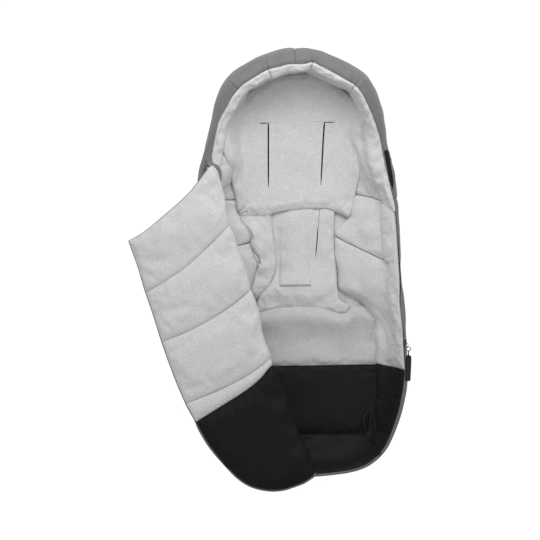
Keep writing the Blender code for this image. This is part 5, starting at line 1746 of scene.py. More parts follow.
@dataclass
class Walls:
    """Linings and wadding inside the wall, and the strips along its rim."""

    right_hood: Table = ((0, 0.341), (0.167, 0.343), (0.333, 0.35), (0.5, 0.362), (0.667, 0.372), (1, 0.385))
    right_wing: Table = ((0, 0.432), (0.167, 0.4416), (0.333, 0.474), (0.5, 0.499), (0.62, 0.505), (1, 0.508))
    left_hood: Table = ((0, 0.352), (1, 0.352))
    left_wing: Table = ((0, 0.44), (0.3, 0.46), (0.6, 0.48), (1, 0.49))
    black: Table = ((0, 0.7448), (0.167, 0.7455), (0.333, 0.75), (0.5, 0.754), (0.667, 0.7565),
                    (1.0, RIM_BLACK_SHARE))
    strip_ends: tuple[float, float] = (0.366, 0.754)
    # Width and rise of the strip along the rim, by share down
    strip_insets: Table = ((0.366, 0.0359), (0.4, 0.0386), (0.43, 0.0377), (0.465, 0.0379), (0.498, 0.0382),
                           (0.508, 0.0295), (0.577, 0.033), (0.63, 0.0325), (0.7, 0.028), (0.755, 0.02))
    strip_rise: Table = ((0.366, 1), (0.498, 1), (0.53, 0.45), (0.66, 0.25), (0.755, 0.15))
    strip_over: float = 5 * MM
    # Wadding: its step, how far up the outside and the inside it reaches, and its gap to both cloths
    wadding_step: float = 9 * MM
    wadding_top: tuple[float, float] = (0.82, 0.94)
    wadding_gap: float = 6 * MM
    columns: int = 34
    step: float = 5.5 * MM

    def lining(self, quilt: Quilt, start: Callable[[Array], Array], end: Callable[[Array], Array],
               low: float = 0.02) -> Thing:
        """One lining of the wall.

        Args:
            quilt: Its cloth and form.
            start: Its first seam.
            end: Its last seam.
            low: Way up the wall where it starts.

        Returns:
            The piece.
        """
        middle = float(abs(end(np.array(0.5)) - start(np.array(0.5)))) * SACK.half_round
        count = max(10, int(middle / self.step))
        ways = low + (1 - low) * spread(self.columns, 0.5)
        return quilt.make(wall_grid(start, end, spread(count, PANEL_SPREAD), ways, Face.INNER))

    def wadding(self, name: str, start: float, end: float) -> None:
        """Wadding between the outer cloth and the lining."""
        count = max(12, int(abs(end - start) * SACK.half_round / self.wadding_step))
        loop, way = np.meshgrid(mix(start, end, evenly(count + 1)), evenly(15), indexing="ij")
        outer, inner = (SACK.wall(loop, way * top, face) for top, face in zip(self.wadding_top, Face))
        middle = (outer + inner) / 2
        run = np.linalg.norm(inner - outer, axis=-1, keepdims=True)
        lean = unit(inner - outer)
        keep = np.clip(run / 2 - self.wadding_gap, 0.8 * MM, None)
        top = middle + lean * keep
        rows, columns = top.shape[:2]
        thing = sewn(name, top, Direction.IN, 1 * MM, Cloth.WADDING)
        places = places_of(thing)
        places[rows * columns:] = (middle - lean * keep).reshape(-1, 3)
        move_to(thing, places)
        dress(outward(thing), "muff", (name,))

    def strip(self, side: str, linings: Sequence[Thing]) -> Thing:
        """Fleece strip along the rim, sewn over the wall's linings.

        Args:
            side: Side of the muff.
            linings: The linings that it lies on.

        Returns:
            The piece.
        """
        loops = mix(*(SACK.share_at(d) for d in self.strip_ends), evenly(110))
        loops = loops if side == "right" else 2.0 - loops
        at = SACK.stations(loops)
        inset = mix(at.hem[:, None] + 2.0 * MM, read(self.strip_insets, at.down)[:, None], spread(12, 0.6)[None, :])
        flat = at.edge[:, None, :] + at.inward[:, None, :] * inset[..., None]
        level = np.maximum(*(surface_height(lining, flat) for lining in linings))
        wall = SACK.wall_height(np.broadcast_to(loops[:, None], inset.shape), inset)
        level = np.maximum(level + 0.6 * MM, wall + self.strip_over)
        for _ in range(3):
            level = relax_rows(level)
        base = at_height(flat, level)
        quilt = Quilt(f"rim_strip_{side}", Cloth.FLEECE, Direction.UP, (), thickness=2.4 * MM, puff=4.0 * MM,
                      reach=8 * MM, swell=0.6 * MM, wave=60 * MM, pucker=(12, 0.5 * MM), seed=95,
                      filling=Filling(4.0, 3 * MM, 0.02))
        return quilt.make(base, rise=np.broadcast_to(read(self.strip_rise, at.down)[:, None], level.shape))

    def build(self) -> None:
        """Make the wall's pieces."""
        soft = SOFT
        right = {"hood": seam_at(self.right_hood, 1), "wing": seam_at(self.right_wing, 1),
                 "black": seam_at(self.black, 1)}
        left = {"hood": seam_at(self.left_hood, -1), "wing": seam_at(self.left_wing, -1),
                "black": seam_at(self.black, -1)}
        look = dict(thickness=3 * MM, puff=5.5 * MM, reach=17 * MM, swell=1.1 * MM, wave=75 * MM, filling=soft)
        hood = Quilt("hood_lining", Cloth.FLEECE, Direction.IN, ("hood_lining",), seed=81, pucker=(24, 0.6 * MM),
                     **look)
        self.lining(hood, lambda way: left["hood"](way) - 2.0, right["hood"])
        wing_folds = (crease(8, 2.0, (0.5, 0.4), (0.42, 0.43)), crease(16, -2.5, (0.7, 0.375), (0.66, 0.44)),
                      crease(9, 7, (0.77, 0.372), (0.766, 0.4), (0.774, 0.43), (0.781, 0.455)))
        hip_folds = (crease(8, 2.6, (0.53, 0.485), (0.57, 0.55), (0.6, 0.6)),
                     crease(8, 4.0, (0.82, 0.53), (0.8, 0.6), (0.76, 0.66)),
                     crease(12, -2.0, (0.7, 0.51), (0.7, 0.6)))
        leg_folds = (crease(9, 2.5, (0.84, 0.63), (0.83, 0.74)), crease(9, -1.5, (0.77, 0.64), (0.76, 0.74)))
        for side, seams, marks in (("right", right, (wing_folds, hip_folds + leg_folds)), ("left", left, ((), ()))):
            linings = []
            for name, first, last, creases, seed in (("wing_lining", "hood", "wing", marks[0], 91),
                                                     ("hip_lining", "wing", "black", marks[1], 92)):
                ends = (seams[first], seams[last]) if side == "right" else (seams[last], seams[first])
                nodes = (f"{name}_{side}",) + ((f"leg_wall_lining_{side}",) if name == "hip_lining" else ())
                quilt = Quilt(f"{name}_{side}", Cloth.FLEECE, Direction.IN, nodes, seed=seed,
                              creases=creases, pucker=(16, 0.6 * MM), **look)
                linings.append(self.lining(quilt, *ends))
            self.strip(side, linings)
            ways = np.linspace(0.17, 0.62, 40)
            path = SACK.wall(seams["wing"](ways), ways, Face.INNER) + np.array((0.0, 0.0, 0.8 * MM))
            STITCHES.along(f"wing_stitches_{side}", path, Cloth.DARK_THREAD)
        foot = Quilt("foot_wall_lining", Cloth.BLACK, Direction.IN, ("foot_wall_lining",), thickness=3 * MM,
                     puff=4 * MM, reach=14 * MM, swell=1.3 * MM, wave=80 * MM, pucker=(30, 1.0 * MM), seed=101,
                     creases=(crease(4, 3, (0.7, 0.76), (0.7, 0.84), (0.7, 0.92)),
                              crease(6, -5, (0.66, 0.86), (0.6, 0.9), (0.58, 0.95)),
                              crease(6, 4, (0.62, 0.85), (0.66, 0.89), (0.64, 0.93)),
                              crease(5, 3, (0.55, 0.93), (0.62, 0.955))),
                     filling=FLAT)
        self.lining(foot, right["black"], left["black"])
        hood_end, toe = SACK.share_at(HOOD_END_SHARE), SACK.share_at(TOE_SEAM_SHARE)
        self.wadding("hood_padding", -hood_end, hood_end)
        self.wadding("side_padding_right", hood_end, toe)
        self.wadding("side_padding_left", 2.0 - toe, 2.0 - hood_end)
        self.wadding("toe_padding", toe, 2.0 - toe)


@dataclass
class Roll:
    """Fleece roll round the mouth of the hood, in stretches between its pleats.

    Attributes:
        name: Name of the stretch.
        start: First loop place.
        end: Last loop place.
        widths: Width in metres by share of the way along.
        height: Height over the lining.
        drawn: How far each end is drawn in, from 0 to 1.
        hang: How far its inner side hangs under the rim.
        raised: How far its middle stands over the lining.
        pleat: Length over which each end is drawn in.
        pleat_depth: How much of its height a pleat takes away.
    """

    name: str
    start: float
    end: float
    widths: Table
    height: float = 10 * MM
    drawn: tuple[float, float] = (1, 1)
    hang: float = 9 * MM
    raised: float = 2.4 * MM
    pleat: float = 13 * MM
    pleat_depth: float = 0.62
    step: float = 3.5 * MM
    around: int = 24
    lies_on: tuple[str, ...] = ("hood_lining_cloth", "wing_lining_right_cloth", "wing_lining_left_cloth",
                                "upper_back_lining_cloth")

    def build(self) -> Thing:
        """Make the stretch."""
        count = int(abs(self.end - self.start) * SACK.half_round / self.step)
        along = spread(count, 0.6)
        loops = mix(self.start, self.end, along)
        length = abs(self.end - self.start) * SACK.half_round
        near = [clamp(way * length / self.pleat) for way in (along, 1 - along)]
        full = np.ones(len(along))
        for drawn, way in zip(self.drawn, near):
            full = full * (1 - drawn * self.pleat_depth * (1 - arc(way)))
        width = read(self.widths, along) * (0.78 + 0.22 * full)
        at = SACK.stations(loops)
        turns = 2 * math.pi * np.arange(self.around) / self.around
        middle = at.hem + width / 2 - 0.5 * MM
        inset = middle[:, None] + width[:, None] / 2 * np.cos(turns)[None, :]
        grid_loop = np.broadcast_to(loops[:, None], inset.shape)
        wide = SACK.stations(grid_loop)
        low = np.maximum(SACK.wall_height(grid_loop, inset), at.rim[:, None] - self.hang)
        for name in self.lies_on:
            low = np.maximum(low, surface_height(bpy.data.objects[name], wide.place(inset, low)[..., :2]))
        bump = ripples(loops[:, None] * SACK.half_round, inset, len(self.name), 42 * MM, 1.0)
        height = self.height * full[:, None] * (1 + 0.10 * bump)
        lift = np.where(np.sin(turns) > 0, np.abs(np.sin(turns)) ** 0.7, -0.22 * np.abs(np.sin(turns)))
        edge = np.minimum(low, at.rim[:, None] + 0.5 * MM)
        for _ in range(3):
            edge = relax_rows(edge)
        across = (1 + np.cos(turns)[None, :]) / 2
        edge = np.maximum(mix(edge[:, self.around // 2, None], edge[:, :1], across), edge - 2 * MM)
        places = wide.place(inset, edge + height * lift[None, :] + self.raised)
        uvs = np.stack(np.broadcast_arrays((loops * SACK.half_round)[:, None], turns[None, :] * 0.01), axis=-1)
        thing = outward(body(self.name, places, tube_faces(count + 1, self.around), Cloth.FLEECE, uvs))
        free = (near[0] * near[1])[:, None] ** 2 * clamp(np.sin(turns) * 1.5)[None, :]
        fill_up(thing, free, Filling(4.0, 3 * MM, 0.03))
        return dress(outward(refine(thing)), "muff", (self.name,))


def relax_rows(level: Array) -> Array:
    """Even heights out along the rows of a grid."""
    for _ in range(4):
        level = np.concatenate((level[:1], (level[:-2] + 2 * level[1:-1] + level[2:]) / 4, level[-1:]))
    return level


def hood_rolls() -> None:
    """Make the four stretches of the hood's roll."""
    left_end, hood = SACK.share_at(0.315), SACK.share_at(0.386)
    left_widths = in_mm((0, 18), (0.16, 25), (0.42, 22), (0.75, 19), (1, 20))
    facing_widths = in_mm((0, 13), (0.245, 13.5), (0.339, 20), (0.465, 34), (0.56, 41), (0.62, 39.5), (0.745, 33.5),
                          (0.87, 29), (0.932, 25), (1, 5))
    Roll("rim_roll_left", -left_end, -LEFT_PLEAT_SHARE, left_widths, drawn=(0.8, 1)).build()
    Roll("rim_roll_top", -LEFT_PLEAT_SHARE, INNER_PLEAT_SHARE, in_mm((0, 24), (0.5, 17), (1, 17))).build()
    Roll("rim_roll_upper_right", INNER_PLEAT_SHARE, OUTER_PLEAT_SHARE, in_mm((0, 17), (0.45, 16), (1, 13)),
         height=9.5 * MM).build()
    Roll("rim_facing_right", OUTER_PLEAT_SHARE, hood, facing_widths, height=8 * MM, drawn=(1, 0.4), hang=40 * MM,
         raised=5 * MM).build()


# ---------------------------------------------------------------- cover
@dataclass
class Cover:
    """Front cover: the part on the left wall, the folded part and the roll of cloth at the fold."""

    thickness: float = 17 * MM
    bulge: float = 10 * MM
    droop: float = 36 * MM
    droop_reach: float = 150 * MM
    clear_reach: float = 30 * MM
    shell_reach: float = 18 * MM
    quilt_reach: float = 22 * MM
    edge_reach: float = 12 * MM
    shell_puff: float = 4.5 * MM
    # Rows of each band between the seams
    lining_rows: tuple[int, ...] = (26, 24, 26, 10)
    foot_rows: tuple[int, ...] = (44,)
    shell_rows: tuple[int, ...] = (18, 18, 20, 30)
    gap: float = 0.3 * MM
    shell: float = 1.6 * MM
    seam_level: float = 0.56
    edge_level: float = 0.50
    puff: float = 8.5 * MM
    pipe: float = 2.9 * MM
    thin_pipe: float = 0.9 * MM
    head_edge: Table = ((0.01, 0), (0.0625, 0.0757), (0.1035, 0.1695), (0.134, 0.2545), (0.142, 0.2985))
    outer_edge: Table = ((0.142, 0.2985), (0.226, 0.2963), (0.304, 0.2988), (0.38, 0.2985), (0.472, 0.3002),
                         (0.57, 0.2983), (0.672, 0.291), (0.75, 0.277), (0.8075, 0.2655), (0.848, 0.252),
                         (0.895, 0.2325))
    toe_edge: Table = ((1.011, 0), (1.019, 0.036), (1.0195, 0.0775), (1.014, 0.1125), (0.997, 0.152),
                       (0.9705, 0.1873), (0.938, 0.2115), (0.895, 0.2325))
    rest: Table = ((0, 0.085), (0.11, 0.12), (0.42, 0.215), (0.72, 0.295), (1, 0.32))
    # Quilting seams from the fold to the outer edge: share along, share out
    seams: tuple[Table, ...] = (
        ((0.204, 0), (0.236, 0.066), (0.274, 0.151), (0.295, 0.222), (0.311, 0.295)),
        ((0.411, 0), (0.434, 0.061), (0.454, 0.139), (0.466, 0.222), (0.471, 0.292)),
        ((0.632, 0), (0.656, 0.096), (0.668, 0.189), (0.674, 0.285)),
    )
    black_seam: Table = ((0.652, 0), (0.674, 0.04), (0.696, 0.103), (0.717, 0.189), (0.738, 0.276))
    # How far the fold runs out of its straight line, by share along, in metres
    sway: Table = ((0, 0), (0.0156, -0.006), (0.036, -0.0108), (0.077, -0.0098), (0.117, -0.0068),
                   (0.195, 0.0022), (0.262, 0), (0.336, 0.0002), (0.404, 0.0016), (0.485, 0.0034), (0.598, 0.0105),
                   (0.652, 0.0092), (0.708, 0.0066), (0.763, 0.0055), (0.8275, 0.0048), (0.874, 0.0032),
                   (0.926, -0.0008), (0.972, -0.003), (1.01, -0.0042))
    # Places from the fold's outer line in to the flat part, and how far the seams slant on it
    lead: tuple[float, ...] = (0.0, 0.5 * MM, 1.5 * MM, 3.0 * MM, 5.0 * MM, 7.3 * MM)
    lead_slant: float = 0.5
    lead_turn: float = 14 * MM
    lead_rise: float = 30 * MM
    # Outer cloth that shows beside the head corner: share along, width in metres
    corner: Table = ((-0.022, 0.012), (0, 0.015), (0.036, 0.009), (0.062, 0.001))
    base_ends: tuple[float, float] = (0.29, 0.985)
    base_fold: tuple[float, float] = (0.022, 0.985)
    roll_ends: tuple[float, float] = (0.006, 0.99)
    roll_steps: tuple[int, int] = (190, 26)
    # Rows and columns of the part on the wall, and its row where the black lining starts
    base_steps: tuple[int, int] = (90, 20)
    base_seam: int = 64
    columns: int = 44

    def __post_init__(self) -> None:
        """Keep the frame of the fold line."""
        half = np.array((HALF_WIDTH, LENGTH / 2))
        self.head = np.array(FOLD_HEAD_SHARE) * half
        foot = np.array(FOLD_FOOT_SHARE) * half
        self.length = float(np.linalg.norm(foot - self.head))
        self.along = (foot - self.head) / self.length
        self.out = np.array((self.along[1], -self.along[0]))
        self.low = SIDE_HEIGHT + self.gap
        self.level = self.low + self.thickness

    def flat(self, along: Array, out: Array) -> Array:
        """Flat places from shares of the fold's length along it and out from it."""
        return self.head + self.along * (along * self.length)[..., None] + self.out * (out * self.length)[..., None]

    def past(self, flat: Array) -> Array:
        """Metres from the left wall, on which the folded part rests, out to places on it."""
        along = ((flat - self.head) @ self.along) / self.length
        return (flat - self.head) @ self.out - read(self.rest, along) * self.length

    def hang(self, flat: Array) -> Array:
        """How far the folded part hangs past the left wall."""
        return self.droop * (np.maximum(0.0, self.past(flat)) / self.droop_reach) ** 2

    def swayed(self, along: Array) -> Array:
        """Share out of the fold's true line at shares along it."""
        return read(self.sway, along) / self.length

    def from_fold(self, line: Table, out: Array) -> Array:
        """Places, as (along, out) shares, on a line from the fold to the outer edge, started on the true fold."""
        edge = along_edge(line, out)
        edge[:, 1] += self.swayed(edge[0, 0]) * (1 - out) ** 4
        return edge

    def outer_share(self, along: float) -> float:
        """Share of the outer edge's length at a share along the fold."""
        shares = evenly(400)
        return float(np.interp(along, along_edge(self.outer_edge, shares)[:, 0], shares))

    def bands(self, lines: Sequence[Table], counts: Sequence[int]) -> tuple[Array, list[int]]:
        """Flat places of the folded part between lines that run from the fold to the outer edge.

        Args:
            lines: Head edge or seam, seams, and toe edge or seam, from fold to outer edge.
            counts: Rows of each band.

        Returns:
            Flat places, rows by columns, and the rows that are seams.
        """
        out = spread(self.columns, 0.6)
        parts, seams = [], [0]
        for first, last, count in zip(lines, lines[1:], counts):
            rows = spread(count, 0.85)
            fold = mix(first[0][0], last[0][0], rows)
            left = np.stack((fold, self.swayed(fold)), axis=-1)
            ends = [self.outer_share(line[-1][0]) for line in (first, last)]
            right = along_edge(self.outer_edge, mix(ends[0], ends[1], rows))
            edges = [self.from_fold(line, out) for line in (first, last)]
            for edge, end in zip(edges, (right[0], right[-1])):
                edge += (end - edge[-1]) * out[:, None]
            left[0], left[-1] = edges[0][0], edges[1][0]
            band = coons(left, right, edges[0], edges[1], rows, out)
            parts.append(band if not parts else band[1:])
            seams.append(seams[-1] + count)
        share = np.concatenate(parts)
        flat = self.flat(share[..., 0], share[..., 1] + (self.bulge + self.gap / 2) / self.length)
        slant = self.out + self.along * self.lead_slant
        back = (np.array(self.lead) - self.bulge)[None, :, None] * slant
        return np.concatenate((flat[:, :1] + back, flat), axis=1), seams[1:-1]

    def top(self, flat: Array, share: Array) -> Array:
        """Heights of the folded part's upper side; share is the part of the thickness."""
        return self.level + self.gap / 2 - self.hang(flat) + self.thickness * share

    def quilted(self) -> None:
        """Fleece lining, black foot lining, wadding and outer cloth of the folded part."""
        lines = [self.head_edge, *self.seams, self.black_seam]
        flat, seams = self.bands(lines, self.lining_rows)
        self._layer("cover_lining", Cloth.FLEECE, flat, seams, ("cover_lining", "cover_padding"), 111)
        flat, seams = self.bands([self.black_seam, self.toe_edge], self.foot_rows)
        # The cover's black part uses a darker copy of the black weave: painted shade.
        self._layer("cover_foot_lining", Cloth.BLACK_COVER, flat, seams, ("cover_foot_lining",), 112)
        flat, seams = self.bands([self.head_edge, *self.seams, self.toe_edge], self.shell_rows)
        clear = clamp(self.past(flat) / self.clear_reach)
        lengths = runs_of(flat)
        puff = rounded(flat.shape[:2], lengths, self.shell_reach)
        for seam in seams:
            puff = puff * arc(np.abs(lengths[0] - lengths[0][seam]) / self.shell_reach)
        flat, puff, clear = (grid[:, len(self.lead):] for grid in (flat, puff, clear))
        low = self.level + self.gap / 2 - self.hang(flat) - self.shell_puff * clear * puff
        thing = sewn("cover_shell", at_height(flat, low), Direction.DOWN, self.shell, Cloth.SHELL)
        dress(outward(refine(thing)), "cover", ("cover_shell",))

    def fold_puff(self, along: Array) -> Array:
        """Rise of the cloth along the fold, from 0 at a seam to 1 between the seams."""
        rise = np.ones(np.shape(along))
        for line in (self.head_edge, *self.seams, self.black_seam, self.toe_edge):
            rise = rise * arc(np.abs(along - line[0][0]) * self.length / self.quilt_reach)
        return rise

    def _layer(self, name: str, cloth: Cloth, flat: Array, seams: Sequence[int], stands_for: tuple[str, ...],
               seed: int) -> Thing:
        """One lining of the folded part, with its wadding, which runs on into the fold without a seam.

        Args:
            name: Name of the piece.
            cloth: Its finish.
            flat: Flat places, rows by columns.
            seams: Rows that are sewn down.
            stands_for: CAD nodes that it stands for.
            seed: Seed of its swell and short creases.

        Returns:
            The piece.
        """
        lengths = runs_of(flat)
        edge = clamp((lengths[1][:, -1:] - lengths[1]) / self.edge_reach)
        level = self.seam_level - (self.seam_level - self.edge_level) * (1 - edge)
        turn = [arc(lengths[1] / reach) for reach in (self.lead_turn, self.lead_rise)]
        base = at_height(flat, self.top(flat, mix(-0.12, level, turn[0])))
        quilt = Quilt(name, cloth, Direction.UP, stands_for, "cover",
                      thickness=self.thickness * self.edge_level - self.shell - 0.6 * MM, puff=self.puff,
                      reach=self.quilt_reach, swell=0.9 * MM, wave=80 * MM, pucker=(36, 0.5 * MM), seed=seed,
                      filling=Filling(4.0, 5 * MM, 0.02), open_left=True)
        for k, row in enumerate(seams[:3]):
            path = base[row, len(self.lead) - 1:] + np.array((0.0, 0.0, 0.7 * MM))
            STITCHES.along(f"{name}_stitches_{k}", path, Cloth.DARK_THREAD, "cover")
        return quilt.make(base, seams, 0.97, mix(0.2, 1.0, turn[1]))

    def trim(self) -> Thing:
        """Piping round the free edges of the folded part."""
        shares = evenly(150)
        head, toe = (self.from_fold(edge, shares[::2]) for edge in (self.head_edge, self.toe_edge))
        lead = (np.array(self.lead[::-1]) - self.bulge)[1:, None] / self.length
        place = np.concatenate((head[:-1], along_edge(self.outer_edge, shares), toe[::-1][1:],
                                toe[0] + lead * np.array((self.lead_slant, 1.0))))
        flat = self.flat(place[:, 0], place[:, 1] + (self.bulge + self.gap / 2) / self.length)
        run = unit(np.gradient(flat, axis=0))
        side = np.stack((run[:, 1], -run[:, 0]), axis=-1)
        if ((flat.mean(0) - flat) * side).sum(-1).mean() > 0:
            side = -side
        black = clamp((place[:, 0] - self.black_seam[-1][0] + 0.01) / 0.03)
        level = self.level - self.hang(flat) + self.thickness * self.edge_level / 2 + mix(0.5 * MM, 2.2 * MM, black)
        radius = mix(self.thin_pipe, self.pipe, black)
        path = np.concatenate((flat + side * (radius * mix(0.2, 0.45, black))[:, None], level[:, None]), axis=-1)
        thing = tube("cover_piping", path, radius, Cloth.PIPING, 14, flat=1.35)
        return dress(thing, "cover", ("cover_piping",))

    def base_grid(self, rows: int, columns: int) -> Array:
        """Flat places of the part that stays on the left wall."""
        start = 2.0 - SACK.share_at(self.base_ends[0])
        share = evenly(rows + 1)
        out = (self.bulge + 2 * self.gap) / self.length
        along = mix(self.base_fold[0], self.base_fold[1], share)
        fold = self.flat(along, out + self.swayed(along))
        at = SACK.stations(mix(start, 2.0 - self.base_ends[1], share))
        rim = at.flat(at.top_inset + 7.5 * MM)
        return mix(fold[:, None, :], rim[:, None, :], spread(columns, 0.5)[None, :, None])

    def base(self) -> None:
        """Lining, wadding and outer cloth of the part that stays on the left wall."""
        flat = self.base_grid(*self.base_steps)
        puff = rounded(flat.shape[:2], runs_of(flat), 14 * MM)
        top = at_height(flat, self.low + self.thickness * mix(0.52, 0.96, puff))
        thing = sewn("cover_base_shell", top, Direction.UP, self.shell, Cloth.SHELL)
        dress(outward(refine(thing)), "muff", ("cover_base_shell", "cover_base_padding"))
        for name, cloth, rows in (("cover_base_lining", Cloth.FLEECE, slice(0, self.base_seam + 1)),
                                  ("cover_base_foot_lining", Cloth.BLACK, slice(self.base_seam, None))):
            thing = sewn(name, at_height(flat[rows], self.low), Direction.DOWN, 4.5 * MM, cloth)
            dress(outward(refine(thing)), "muff", (name,))

    def fold(self) -> None:
        """Roll of lining cloth round the fold."""
        steps, around = self.roll_steps
        turns = np.linspace(-math.pi / 2, math.pi / 2, around + 1)
        share = np.linspace(*self.roll_ends, steps + 1)
        puff = self.fold_puff(share)[:, None]
        swell = ripples(share[:, None] * self.length, turns[None, :] * 0.02, 7, 60 * MM, 0.5 * MM)
        high, low = self.level + 2.5 * MM, self.low - 0.5 * MM
        tall, middle = (high - low) / 2, (high + low) / 2
        wide = self.bulge - 2.6 * MM + swell - 1.0 * MM * (1 - puff)
        out = (self.bulge + 3 * self.gap - wide * np.cos(turns)[None, :]) / self.length
        flat = self.flat(np.broadcast_to(share[:, None], out.shape), out + self.swayed(share)[:, None])
        grid = at_height(flat, middle + tall * np.sin(turns)[None, :])
        black_row = int(round((self.black_seam[0][0] - share[0]) / (share[-1] - share[0]) * steps))
        # The roll's black end uses the darker copy of the black weave: painted shade.
        for name, cloth, rows in (("cover_fold_roll", Cloth.FLEECE, slice(0, black_row + 1)),
                                  ("cover_fold_roll_foot", Cloth.BLACK_COVER, slice(black_row, None))):
            thing = outward(sewn(name, grid[rows], Direction.UP, 1.8 * MM, cloth))
            flat_pivot = self.flat(np.array(0.5), np.array(self.bulge / self.length))
            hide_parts("cover_fold_roll")
            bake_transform(thing)
            LOG.info("%s bends between muff and cover", name)

    def head_corner(self) -> None:
        """Outer cloth of the part on the wall, which shows beside the head corner."""
        along = np.linspace(self.corner[0][0], self.corner[-1][0], 40)
        width = read(self.corner, along)
        way = evenly(8)[None, :]
        out = (self.swayed(np.maximum(along, 0.0))[:, None] * self.length + mix(4 * MM, -width[:, None], way))
        flat = self.flat(np.broadcast_to(along[:, None], out.shape), out / self.length)
        height = self.level - 2 * MM - 10 * MM * way ** 2 + 1.5 * MM * np.sin(along * 160)[:, None]
        thing = sewn("cover_corner", at_height(flat, height), Direction.UP, self.shell, Cloth.SHELL)
        dress(outward(refine(thing)), "muff", ())

    def build(self) -> None:
        """Make the cover."""
        self.base()
        self.head_corner()
        self.fold()
        self.quilted()
        self.trim()


